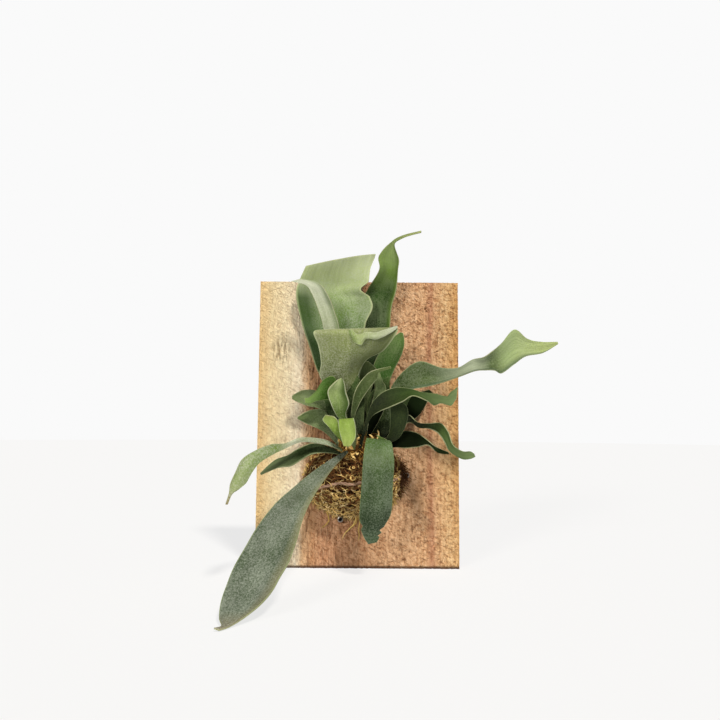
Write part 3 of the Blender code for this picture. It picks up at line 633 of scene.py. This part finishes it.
for _ in range(26):
    angle = radians(chance.uniform(-100, 100))
    direction = Vector((sin(angle), -cos(angle), chance.uniform(-0.8, 0.55))).normalized()
    start = on_crown(direction, 0.98)
    heading = Vector((chance.gauss(0, 0.8), chance.gauss(0, 0.3) - 0.3, chance.gauss(0.2, 0.8))).normalized()
    bow = direction.cross(heading) * chance.uniform(-1.5, 1.5) * MM
    length = chance.uniform(5, 10) * MM
    leaf_bases.append([start + heading * length * part + (direction * 2 * MM + bow) * sin(pi * part)
                       for part in (0.0, 0.2, 0.4, 0.6, 0.8, 1.0)])
dry_bases = fibrous("dry leaf bases", "#9a6a28", "#efcf86", 1.6)
tubes("old_leaf_bases", leaf_bases, 0.9 * MM, dry_bases, rounding=1)


# The fronds: leathery blades about 1 mm thick that narrow to a stalk at the crown. Each is drawn
# from places along its midrib, base to tip, in mm and degrees: x, out from the board's face, z,
# width, lean (slope across, seen from the front), twist (right edge forward) and cup. The last
# three are 0 where they are left out.
# Both sides carry parallel veins; the upper side is green under a thin bloom of pale hairs, which
# rub off in patches, the underside and the rim are felted paler.
# Most upper sides are painted darker towards the base, as the shade where the fronds crowd at the crown.
BLADE = 1.1 * MM
BASE_CLEARANCE = 1.2 * MM
BLADE_COLUMNS = 16                 # faces across a blade
ROW_PITCH = 1.6                    # mm along it


def leaf_side(name, lengthways, bloom, bloom_share, veins=0.12, patches=0.5, roughness=0.52, margin=None,
              tint=None, tint_until=2.0, shine=0.14):
    """One side of a frond: satin leather, dulled and paled by hairs. lengthways are (place, hex)
    stops from base to tip, bloom is the hairs' colour, margin an edge colour, and tint a (hex,
    start, end) that fades in across the blade and ends at tint_until along it."""
    material, tree, shader = new_material(name)
    spot = add_node(tree, "UVMap", {"uv_map": "blade"})
    axes = add_node(tree, "SeparateXYZ", links={0: spot})
    place = add_node(tree, "TexCoord").outputs["Object"]
    body = add_node(tree, "ValToRGB", links={"Fac": axes.outputs["Y"]}, stops=lengthways)
    # Hairs: the real tufts are under 0.5 mm apart, too fine to show, so they are drawn 1.4 mm
    # apart; they are thick in some patches of about 30 mm and worn off in others.
    tufts = add_node(tree, "TexNoise", values={"Scale": 720.0, "Detail": 3.0, "Roughness": 0.8},
                     links={"Vector": place}).outputs["Fac"]
    worn = add_node(tree, "TexNoise", values={"Scale": 30.0, "Detail": 4.0}, links={"Vector": place})
    amount = add_node(tree, "Math", {"operation": "MULTIPLY_ADD"}, values={1: patches},
                      links={0: worn.outputs["Fac"], 2: tufts})
    middle = 0.5 + 0.5 * patches
    hair_share = add_node(tree, "MapRange", {}, {"From Min": middle - 0.12, "From Max": middle + 0.15,
                                                 "To Max": bloom_share}, {"Value": amount})
    coat = add_node(tree, "Mix", {"data_type": "RGBA"}, values={7: srgb(bloom)},
                    links={0: hair_share, 6: body}).outputs[2]
    if tint:
        code, start, end = tint
        fade = add_node(tree, "MapRange", values={"From Min": start, "From Max": end, "To Max": 0.85},
                        links={"Value": axes.outputs["X"]})
        ending = add_node(tree, "MapRange", values={"From Min": tint_until, "From Max": tint_until - 0.15},
                          links={"Value": axes.outputs["Y"]})
        share = add_node(tree, "Math", {"operation": "MULTIPLY"}, links={0: fade, 1: ending})
        coat = add_node(tree, "Mix", {"data_type": "RGBA"}, values={7: srgb(code)},
                        links={0: share, 6: coat}).outputs[2]
    # Painted shade and light: the blade is darker in some folds and paler in others.
    fold_run = add_node(tree, "Mapping", values={"Scale": (2.6, 5.0, 1.0)}, links={"Vector": spot})
    folds = add_node(tree, "TexNoise", values={"Scale": 1.0, "Detail": 2.0}, links={"Vector": fold_run})
    fold_shade = add_node(tree, "MapRange", links={"Value": folds.outputs["Fac"]},
                          values={"From Min": 0.3, "From Max": 0.7, "To Min": 0.84, "To Max": 1.13})
    # Veins run the whole blade, 38 across it: 1 mm apart where it is 38 mm wide.
    vein_run = add_node(tree, "Mapping", values={"Scale": (38.0, 1.6, 1.0)}, links={"Vector": spot})
    lines = add_node(tree, "TexNoise", values={"Scale": 1.0, "Detail": 1.0, "Roughness": 0.5},
                     links={"Vector": vein_run}).outputs["Fac"]
    vein_shade = add_node(tree, "MapRange", links={"Value": lines},
                          values={"From Min": 0.35, "From Max": 0.65, "To Min": 0.68 * (1.0 - veins),
                                  "To Max": 0.68 * (1.0 + 0.4 * veins)})
    shade = add_node(tree, "Math", {"operation": "MULTIPLY"}, links={0: vein_shade, 1: fold_shade})
    colour = add_node(tree, "VectorMath", {"operation": "SCALE"}, links={0: coat, "Scale": shade}).outputs[0]
    if margin:
        sideways = add_node(tree, "Math", {"operation": "MULTIPLY_ADD"}, values={1: 2.0, 2: -1.0},
                            links={0: axes.outputs["X"]})
        off_middle = add_node(tree, "Math", {"operation": "ABSOLUTE"}, links={0: sideways})
        edge = add_node(tree, "MapRange", values={"From Min": 0.94, "From Max": 1.0, "To Max": 0.55},
                        links={"Value": off_middle})
        colour = add_node(tree, "Mix", {"data_type": "RGBA"}, values={7: srgb(margin)},
                          links={0: edge, 6: colour}).outputs[2]
    gloss = add_node(tree, "MapRange", values={"To Min": roughness - 0.08, "To Max": roughness + 0.14},
                     links={"Value": amount})
    relief = add_node(tree, "Math", {"operation": "MULTIPLY_ADD"}, values={1: 1.6},
                      links={0: lines, 2: tufts})
    bump = add_node(tree, "Bump", values={"Strength": 0.6, "Distance": 0.5 * MM}, links={"Height": relief})
    fill_sockets(shader, {"Specular IOR Level": shine},
                 {"Base Color": colour, "Roughness": gloss, "Normal": bump})
    return material


felt = leaf_side("pale felted rim", [(0.0, "#8a9660"), (1.0, "#b4b884")], "#d8d8b8", 0.5, veins=0.05)
pale_back = leaf_side("grey-felted underside", [(0.0, "#66753f"), (0.5, "#8a9862"), (1.0, "#a0ab78")],
    "#b4bd92", 0.35, patches=0.3)


def seat_on_crown(point):
    """Move a base point along its line to the crown's centre until it clears the crown."""
    centre = Vector((CROWN_CENTRE.x, FACE - CROWN_CENTRE.y, CROWN_CENTRE.z))
    offset = point * MM - centre
    scaled = Vector(value / (size + BASE_CLEARANCE) for value, size in zip(offset, CROWN_HALF))
    return (centre + offset / scaled.length) / MM


def along(points, place):
    """A smooth (Catmull-Rom) reading of a list of vectors; place runs from 0 to 1."""
    spot = place * (len(points) - 1)
    first = min(int(spot), len(points) - 2)
    t = spot - first
    before = points[max(first - 1, 0)]
    start = points[first]
    end = points[first + 1]
    after = points[min(first + 2, len(points) - 1)]
    return 0.5 * (2 * start + (end - before) * t
                  + (2 * before - 5 * start + 4 * end - after) * t ** 2
                  + (3 * start - before - 3 * end + after) * t ** 3)


def blade_edges(places, rooted):
    """The left and right edges of a blade, from the places along its midrib."""
    lefts = []
    rights = []
    for x, out, z, width, lean, twist, _ in places:
        flat = cos(radians(twist)) * width / 2
        forward = sin(radians(twist)) * width / 2
        reach = Vector((flat * cos(radians(lean)), forward, flat * sin(radians(lean))))
        lefts.append(Vector((x, out, z)) - reach)
        rights.append(Vector((x, out, z)) + reach)
    if rooted:
        lefts[0] = seat_on_crown(lefts[0])
        rights[0] = seat_on_crown(rights[0])
    return lefts, rights


def grow(name, front, places, back=pale_back, ruffle=0.5, waves=5.0, seed=1, bites=(), rooted=True):
    """One frond. front is the finish of the face that looks out as the blade is drawn. bites are
    notches in an edge, 0 left or 1 right: (edge, place, length, depth) in shares of the blade; a
    negative depth is a lobe. A rooted frond starts at the crown."""
    places = [(*place, 0, 0, 0)[:7] for place in places]
    lefts, rights = blade_edges(places, rooted)
    cups = [Vector((place[-1], 0.0, 0.0)) for place in places]
    length = sum((end - start).length for start, end in zip(lefts, lefts[1:]))
    rows = max(24, int(length / ROW_PITCH))
    blade = bmesh.new()
    bmesh.ops.create_grid(blade, x_segments=BLADE_COLUMNS, y_segments=rows, size=0.5)
    layer = blade.loops.layers.uv.new("blade")
    for face in blade.faces:
        for corner in face.loops:
            corner[layer].uv = (corner.vert.co.x + 0.5, corner.vert.co.y + 0.5)
    for vert in blade.verts:
        across = vert.co.x + 0.5
        place = vert.co.y + 0.5
        left, right = along(lefts, place), along(rights, place)
        for edge, spot, width, depth in bites:
            nearness = max(0.0, 1 - ((place - spot) / width) ** 2) ** 2 * depth
            if edge:
                right = right.lerp(left, nearness)
            else:
                left = left.lerp(right, nearness)
        x, out, z = left.lerp(right, across)
        width = (right - left).length
        free = abs(2 * across - 1) ** 3 * min(1.0, width / 14) * min(1.0, place * 3)
        wave = noise.noise((place * waves, across * 0.8, seed * 9.7)) * 2 * ruffle
        dimple = 0.35 * noise.noise((across * 3.0, place * length / 16, seed * 3.1)) * min(1.0, width / 14)
        out += along(cups, place).x * 4 * across * (1 - across) + wave * free * 2 + dimple
        z += wave * free * 0.6
        vert.co = Vector((x * MM, FACE - out * MM, z * MM))
    frond = add_piece(name, blade, [front, back, felt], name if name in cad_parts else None)
    frond.data.shade_smooth()
    wall = frond.modifiers.new("blade thickness", "SOLIDIFY")
    wall.thickness = BLADE
    wall.offset = 0.0
    wall.material_offset = 1
    wall.material_offset_rim = 2
    rounding = frond.modifiers.new("soft rim", "BEVEL")
    rounding.width = BLADE * 0.3
    rounding.segments = 2
    rounding.limit_method = "ANGLE"
    rounding.angle_limit = radians(60)


# The back fronds: the oldest and broadest and a tall one that ends in a thread, standing nearly
# flat against the board. Dark green under grey hairs, ageing to yellow-green at the top; one
# narrow frond in front is silvery.
# Painted shade: the broad frond's left side is tinted darker green, as the shade on it.
broad_upper = leaf_side("broad frond, upper side", [(0.0, "#1d2c0b"), (0.35, "#30501a"), (0.6, "#6c8e40"),
    (0.75, "#96b064"), (0.9, "#bac98a"), (1.0, "#c6d29a")], "#cdd5ba", 0.55, veins=0.06, patches=0.8,
    margin="#bcc692", tint=("#2c4a12", 0.36, 0.14), tint_until=0.88)
grow("frond_back_broad", broad_upper, [
    (-1, 21, -11, 5), (-8, 15, 14, 15), (-18, 13, 47, 41, 3, 0, -2), (-22, 15, 75, 53, 5, 5, -4),
    (-25, 17, 97, 64, 0, 8, -6), (-26, 18, 121, 74, -2, 6, -7), (-26, 19, 138, 71, 0, 2, -5),
    (-20, 26, 161, 67, 11, 0, 3),
], ruffle=1.4, waves=7, seed=1,
     bites=[(1, 0.81, 0.06, 0.11), (1, 0.67, 0.09, -0.05), (1, 1.0, 0.08, -0.05)])

silver = leaf_side("silvery young frond", [(0.0, "#5c6c38"), (0.4, "#b0bc92"), (1.0, "#dce2c6")],
    "#e4e8ce", 0.55, patches=0.3, margin="#eef0dc", tint=("#7d9848", 0.7, 1.1))
grow("frond_pale_curl", silver, [
    (-7, 28, -10, 4), (-18, 27, 17, 6, 10), (-25, 30, 49, 14, 0, 0, -1), (-26, 38, 87, 15, 0, 0, -2),
    (-31, 42, 106, 15, 0, 0, -3), (-37, 46, 121, 16, -10, 0, -3), (-45, 48, 132, 13, 5, 0, -2),
    (-61, 45, 136, 9, 15),
], ruffle=0.5, waves=6, seed=2)

tall_upper = leaf_side("tall frond, upper side", [(0.0, "#172608"), (0.3, "#243c0e"), (0.5, "#335414"),
    (0.62, "#84a446"), (0.75, "#98b45a"), (1.0, "#c2cc84")], "#9cab80", 0.35, patches=1.0,
    margin="#9aa766", tint=("#5a7a24", 0.85, 1.0))
grow("frond_tall_tail", tall_upper, [
    (9, 20, -10, 5), (9, 11, 17, 8, 0, 20), (14, 8, 54, 26, -5, 10, -1), (15, 10, 90, 32, 0, 10, -3),
    (16, 11, 114, 34, 0, 15, -4), (22, 13, 132, 33, 0, 25, -4), (29, 26, 151, 19, 0, 10, -3),
    (29, 32, 162, 20, -8, 0, -2), (32, 38, 174, 5, -15), (41, 45, 179, 3, -45), (59, 54, 182, 2, -90),
], ruffle=0.8, waves=8, seed=3)


# The cup frond: a wide young blade that leans out, so that its pale, strongly veined underside
# shows from the front, with a bright lip along the top.
# Painted shade: the cup's right half is tinted darker, as the shade where the blade curves away.
cup_under = leaf_side("cup frond, underside", [(0.0, "#39441e"), (0.4, "#66743c"), (0.7, "#8a9758"),
    (0.94, "#97a362"), (1.0, "#ced6a8")], "#cfd0b4", 0.6, veins=0.07, patches=0.3, margin="#c3cba0",
    tint=("#6e7a44", 0.5, 1.0))
bright_upper = leaf_side("bright young frond, upper side", [(0.0, "#5d7a26"), (0.5, "#86a444"),
    (1.0, "#a9bf62")], "#c9d29a", 0.4, margin="#d4dab0")
grow("frond_cup", cup_under, [
    (1, 33, -9, 5), (-5, 34, 18, 14, 5, 0, 1), (-18, 40, 42, 35, 5, 0, 4), (-14, 48, 58, 43, 3, 0, 5),
    (-7, 55, 70, 62, -3, 0, 5), (-3, 62, 83, 78, 2, 0, 2), (-3, 60, 87, 74, 2),
], back=bright_upper, ruffle=0.9, waves=5, seed=4, bites=[(0, 1.0, 0.05, 0.04)])
lip_upper = leaf_side("curled lip, upper side", [(0.0, "#8fa94e"), (0.35, "#a9bb72"), (1.0, "#c6cfae")],
    "#dde0c6", 0.5, margin="#e6e8d2")
grow("cup_lip", lip_upper, [
    (-9, 64, 84, 3, -90), (-5, 65, 80, 11, -80, 0, 2), (0, 66, 76, 11, -70, 0, 2), (7, 66, 80, 6, -95, 0, 1),
    (17, 66, 80, 6, -85, 0, 1), (27, 65, 84, 5, -75, 0, 1), (36, 63, 89, 2, -60),
], back=cup_under, ruffle=0.8, waves=9, seed=27, rooted=False)


# Two fronds behind the cup on the right: one deep green, one a short grey lobe.
deep_upper = leaf_side("deep green frond, upper side", [(0.0, "#1c3010"), (0.5, "#46702a"),
    (1.0, "#6a9040")], "#a0b07c", 0.45, patches=0.9, margin="#93a86c")
grey_upper = leaf_side("grey-green frond, upper side", [(0.0, "#1f2b0c"), (0.5, "#435626"),
    (1.0, "#6b7d44")], "#8f9b6c", 0.32, margin="#8f9b70")
grow("frond_behind_right", deep_upper, [
    (21, 24, -11, 5), (22, 18, 12, 7), (23, 17, 34, 13, 10, 5, -1), (24, 18, 50, 21, 0, 0, -2),
    (31, 22, 67, 23, 0, 0, -2), (37, 25, 79, 16, -5, 0, -1), (42, 28, 88, 3, -15),
], seed=5)
grow("frond_behind_lobe", grey_upper, [
    (14, 29, -11, 4), (8, 28, 18, 5, 15), (8, 28, 37, 15, 20), (10, 32, 49, 17, 5, 0, -1),
    (8, 35, 59, 3, -10),
], seed=6)


# The right-hand fronds: narrow antlers that arch out to the right past the board's edge. The
# longest swells twice along its length; one ends in a fork, and the lowest are painted near-black as deep
# shade.
long_upper = leaf_side("long frond, upper side", [(0.0, "#2c4014"), (0.3, "#40581e"), (0.5, "#b9c4a4"),
    (0.62, "#56693a"), (0.75, "#9db274"), (1.0, "#bccb7c")], "#bcc6a2", 0.32, margin="#a9b682",
    tint=("#48614a", 0.86, 1.0))
grow("frond_right_long", long_upper, [
    (27, 29, -16, 4, -30), (30, 33, 15, 6, -45), (35, 36, 30, 10, -40), (48, 43, 41, 20, -68, 5, -2),
    (62, 48, 46, 25, -75, 7, -3), (78, 55, 45, 15, -80, 8, -2), (93, 62, 47, 9, -80, 10, -1),
    (106, 69, 53, 11, -80, 10, -2), (115, 76, 54, 12, -85, 0, -3), (122, 81, 56, 18, -85, -3, -3),
    (128, 86, 58, 27, -90, 0, -2), (139, 89, 68, 31, -90, 0, -1), (149, 91, 67, 16, -95, 0, -1),
    (163, 94, 67, 10, -90), (176, 95, 71, 2, -70),
], ruffle=0.7, waves=9, seed=7)

forked_upper = leaf_side("forked frond, upper side", [(0.0, "#0a1203"), (0.35, "#0e1a05"),
    (0.55, "#3a521f"), (1.0, "#7f9562")], "#6c7c44", 0.18, patches=0.8, margin="#84925f")
grow("frond_right_forked", forked_upper, [
    (2, 49, -24, 3), (6, 52, -8, 3, -20), (10, 54, 5, 4, -40), (16, 59, 14, 11, -60, 20, -1),
    (26, 62, 21, 17, -60, 25, -3), (38, 64, 26, 16, -65, 25, -3), (49, 66, 28, 9, -70, 35, -2),
    (61, 68, 24, 9, -70, 20, -1), (70, 70, 21, 11, -100, 5, 1), (77, 72, 21, 8, -120, 5),
    (84, 74, 22, 13, -98, 5, 1), (89, 76, 24, 17, -98, 5),
], seed=8, bites=[(1, 1.0, 0.08, 0.35), (0, 0.86, 0.04, 0.2)])

loop_upper = leaf_side("looped frond, upper side", [(0.0, "#121c08"), (1.0, "#263814")], "#6c7a42", 0.18,
    margin="#97a577")
heart_upper = leaf_side("heart leaf, upper side", [(0.0, "#0f1a06"), (0.6, "#2a4210"), (1.0, "#48662a")],
    "#8a9a66", 0.35, margin="#7d8f58")
# Painted shade: the shaded fronds are near-black, as the deep shade they lie in under the others.
shade_upper = leaf_side("shaded frond, upper side", [(0.0, "#060a02"), (0.5, "#0d1605"),
    (1.0, "#25361a")], "#26340e", 0.1, margin="#22300c", shine=0.03)
grow("frond_right_loop", loop_upper, [
    (31, 43, -22, 4, -15), (34, 47, -12, 10, -20, 0, 1), (38, 51, 3, 16, -7, -7, 2),
    (38, 53, 13, 16, 3, -7, 2), (34, 55, 18, 13, 13, -8, 1),
], seed=9)
grow("frond_right_ribbon", forked_upper, [
    (30, 35, -18, 4, -35), (38, 37, -5, 6, -50), (48, 40, 4, 7, -80, 8, -1), (57, 44, -2, 5, -78),
    (67, 49, -3, 5, -90, 0, -1), (76, 53, -5, 10, -105, 10, -2), (82, 57, -13, 10, -115, 15, -2),
    (86, 61, -23, 7, -115, 5, -1), (95, 66, -29, 7, -95), (102, 69, -29, 7, -90), (106, 70, -29, 3, -70),
], seed=10)
grow("frond_right_low", shade_upper, [
    (28, 35, -27, 4, -55), (35, 37, -20, 7, -95, 5), (44, 40, -16, 16, -83, 4, -2),
    (55, 43, -16, 14, -86, 4, -2), (65, 45, -18, 6, -75, 5, -1), (74, 48, -25, 5, -80),
    (85, 50, -28, 2, -65),
], back=shade_upper, seed=11)
grow("frond_right_shaded", shade_upper, [
    (26, 23, -16, 4, -35), (36, 18, -2, 9, -58), (50, 14, 10, 17, -50, 0, -1), (60, 12, 21, 17, -55, 0, -1),
    (72, 12, 32, 4, -35),
], back=shade_upper, seed=12)


# The two big hanging fronds: they rise a little from the crown, arch over and hang, so the face
# that looked back at the board where they rose is the upper side that shows below.
hanging_upper = leaf_side("hanging frond, upper side", [(0.0, "#4a6c1c"), (0.28, "#45651d"),
    (0.36, "#5d7340"), (0.46, "#384e22"), (0.8, "#24361a"), (1.0, "#3b5232")], "#98a68c", 0.5,
    patches=0.55, margin="#7c8f5e")
grow("frond_hanging", pale_back, [
    (15, 49, -27, 4), (18, 54, -18, 16), (19, 60, -16, 22, -7, 0, 1), (19, 65, -22, 25, 0, 0, 2),
    (19, 67, -36, 28, 0, 0, 3), (18, 67, -54, 28, 0, 0, 3), (17, 65, -73, 29, 0, 0, 3),
    (16, 62, -84, 28, 0, 0, 2), (14, 59, -95, 22, 8, 0, 1), (14, 57, -104, 15, 15), (14, 56, -110, 8, 10),

], back=hanging_upper, ruffle=0.6, seed=13,
     bites=[(1, 0.84, 0.03, 0.16), (1, 0.90, 0.025, 0.18), (0, 0.78, 0.03, 0.1)])

floor_upper = leaf_side("long hanging frond, upper side", [(0.0, "#2a3818"), (0.2, "#687558"),
    (0.35, "#4e5e42"), (0.6, "#4a5a40"), (0.8, "#5c6a54"), (0.92, "#9a9478"), (1.0, "#d8cdac")],
    "#c2c9ba", 0.5, patches=0.45, margin="#8b9a6a", tint=("#a39c70", 0.78, 1.12))
grow("frond_floor", pale_back, [
    (-16, 48, -30, 4, -55), (-24, 60, -38, 8, -35, 5), (-36, 81, -49, 14, -30, 15, -1),
    (-47, 102, -61, 20, -25, 15, -3), (-56, 123, -73, 27, -23, 15, -4), (-63, 143, -88, 34, -20, 14, -5),
    (-69, 159, -102, 37, -16, 12, -5), (-75, 171, -113, 37, -10, 10, -5), (-79, 181, -123, 35, -5, 8, -4),
    (-83, 191, -131, 30, 0, 6, -3), (-87, 200, -138, 20, 5, 2, -2), (-90, 209, -142, 7),
    (-95, 217, -142, 4, -20),
], back=floor_upper, ruffle=0.5, waves=6, seed=14)


# The left-hand fronds: one arches far out on a thin pale stalk, one lies low in its shade.
left_upper = leaf_side("left frond, upper side", [(0.0, "#56732a"), (0.2, "#8ba05c"), (0.32, "#cdd2b0"),
    (0.42, "#7c9838"), (0.6, "#8ea45c"), (0.88, "#a2b078"), (1.0, "#a58c5c")], "#dfe3cf", 0.65,
    margin="#d6dabd")
grow("frond_left_upper", left_upper, [
    (-17, 40, -27, 4, 125), (-27, 46, -20, 7, 125), (-42, 54, -17, 5, 115, 0, 1),
    (-54, 63, -17, 4, 110, 0, 1), (-66, 73, -22, 5, 90), (-77, 83, -25, 10, 90, 5),
    (-88, 91, -31, 12, 105, 5, 1), (-96, 98, -39, 15, 123, 5, 1), (-100, 103, -48, 13, 132, 5, 1),
    (-104, 107, -55, 9, 150), (-107, 110, -61, 3, 160), (-110, 111, -70, 2, 180),
], seed=15)
low_upper = leaf_side("low left frond, upper side", [(0.0, "#1a280c"), (0.5, "#26380f"),
    (1.0, "#7c8d62")], "#7c8a5c", 0.3, margin="#9aa67c", tint=("#93a072", 0.12, 0.0))
grow("frond_left_lower", low_upper, [
    (-16, 36, -32, 4, 108), (-28, 39, -26, 7, 112, -5), (-42, 44, -25, 10, 95, -12, -1),
    (-54, 49, -30, 11, 105, -15, -2), (-64, 54, -36, 11, 114, -15, -1), (-75, 58, -39, 8, 120, -10),
    (-89, 60, -48, 2, 115),
], seed=16)


# The young fronds at the heart: bright yellow-green with white-felted rims, one folded over.
young_upper = leaf_side("young frond, upper side", [(0.0, "#4c6a1e"), (0.5, "#82a03c"), (0.8, "#9ab454"),
    (1.0, "#a8ba60")], "#ccd494", 0.3, margin="#eceedd")
# Painted shade: the spoon's right side is tinted darker, as the shade on it.
spoon_upper = leaf_side("spoon-shaped frond, upper side", [(0.0, "#2f4414"), (0.35, "#5d7a30"),
    (0.7, "#9ab068"), (1.0, "#b9c88c")], "#ccd6a8", 0.4, margin="#f0f1e2", tint=("#4a6624", 0.45, 0.85))
grow("frond_young_folded", pale_back, [
    (-6, 50, -26, 4), (-7, 52, -15, 11), (-9, 54, -4, 14, 5), (-11, 58, 3, 14, 4), (-10, 63, -5, 15, 0, 0, 1),
    (-9, 65, -14, 13, -4, 0, 1), (-10, 65, -22, 6, -5),
], back=young_upper, ruffle=0.4, seed=17)
grow("frond_young_side", young_upper, [
    (-12, 51, -26, 3, -25), (-17, 53, -15, 6, -38, 5), (-22, 55, -6, 11, -15, 5), (-26, 56, 2, 14, 0, 8, -1),
    (-27, 57, 6, 7, -8),
], ruffle=0.3, seed=18)
grow("frond_young_spoon", spoon_upper, [
    (-4, 44, -18, 3), (-10, 46, -3, 5), (-16, 48, 7, 9, 8, 0, -1), (-17, 53, 17, 17, 0, 0, -3),
    (-20, 56, 28, 17, 0, 0, -4), (-18, 57, 35, 11, -5, 0, -2), (-16, 56, 41, 2),
], ruffle=0.3, seed=19)


# Short fronds left of the heart: one saturated green, two dull ones close to the board.
fresh_upper = leaf_side("fresh green frond, upper side", [(0.0, "#1f3a04"), (0.55, "#38600c"),
    (1.0, "#8fae5c")], "#a9bc7c", 0.2, margin="#a9bc76")
dull_upper = leaf_side("dull green frond, upper side", [(0.0, "#18240b"), (0.5, "#586e3a"),
    (1.0, "#788c54")], "#a2ad82", 0.45, patches=0.9, margin="#8d9b6c")
grow("frond_young_left", fresh_upper, [
    (-7, 38, -12, 3), (-13, 42, 9, 4, 30), (-19, 45, 23, 11, 62), (-26, 48, 32, 22, 75, 0, 1),
    (-34, 51, 30, 19, 82, 0, 2), (-40, 52, 24, 10, 85, 0, 1), (-46, 53, 20, 6, 90), (-50, 54, 20, 4, 95),
], seed=20)
grow("frond_left_round", dull_upper, [
    (-12, 27, -15, 3, 70), (-24, 25, 7, 5, 65), (-38, 22, 21, 16, 88, 0, -1), (-51, 21, 24, 16, 95, 0, -2),
    (-60, 21, 24, 9, 95, 0, -1), (-65, 22, 24, 3, 90),
], seed=21)
grow("frond_left_short", dull_upper, [
    (-15, 33, -22, 4, 75), (-23, 30, -12, 11, 85), (-33, 30, 1, 19, 85, 0, -1), (-44, 32, 4, 16, 93, 0, -2),
    (-53, 33, 4, 8, 90, 0, -1), (-58, 35, 4, 2, 90),
], seed=22)


# Short fronds in the centre: a grey one, a dull one, a dark one in painted deep shade and a bright bud. Four
# broad fronds, which replace no CAD solid, fill the heart between them, painted dark towards the base as the
# shade of the heart.
HEART_LEAVES = [
    [(2, 40, -12, 6), (-2, 38, 8, 15, 0, 0, 2), (-4, 37, 26, 20, 5, 0, 3), (-5, 39, 40, 13, 0, 0, 1),
     (-4, 41, 48, 3)],
    [(12, 32, -12, 6), (16, 30, 6, 15, 0, 0, 2), (20, 29, 24, 19, -5, 0, 2), (25, 31, 36, 11, -10, 0, 1),
     (29, 33, 44, 2)],
    [(19, 32, -16, 6, -20), (27, 30, -1, 14, -25, 0, 2), (36, 29, 12, 18, -30, 0, 2),
     (44, 31, 21, 9, -40, 0, 1), (50, 33, 27, 2, -40)],
    [(-5, 32, -14, 6, 20), (-14, 29, 0, 14, 25, 0, 2), (-22, 27, 12, 18, 40, 0, 2),
     (-29, 28, 22, 10, 50, 0, 1), (-34, 29, 28, 2, 60)],
]
for number, places in enumerate(HEART_LEAVES, start=1):
    grow(f"heart_leaf_{number}", heart_upper, places, seed=29 + number)
grow("frond_centre_grey", grey_upper, [
    (0, 46, -15, 3, -25), (-5, 47, 2, 3), (-2, 50, 18, 7, 0, 0, -1), (4, 53, 31, 13, 8, 0, -2),
    (11, 56, 41, 13, 0, 0, -1), (16, 59, 47, 7, -8), (30, 62, 51, 2, -70),
], seed=23)
grow("frond_centre_small", dull_upper, [
    (11, 36, -12, 3), (15, 36, 12, 6), (21, 38, 30, 11, 10, 0, -1), (20, 41, 40, 6), (19, 42, 48, 2),
], seed=24)
grow("frond_bud", fresh_upper, [
    (24, 47, -23, 3), (24, 49, -17, 7), (18, 51, -12, 2, -15),
], back=fresh_upper, ruffle=0.2, seed=25)
grow("frond_centre_dark", shade_upper, [
    (9, 42, -14, 3), (15, 41, 2, 10, 0, 0, -1), (18, 42, 14, 13, -8, 0, -2), (20, 44, 24, 3),
], seed=26)
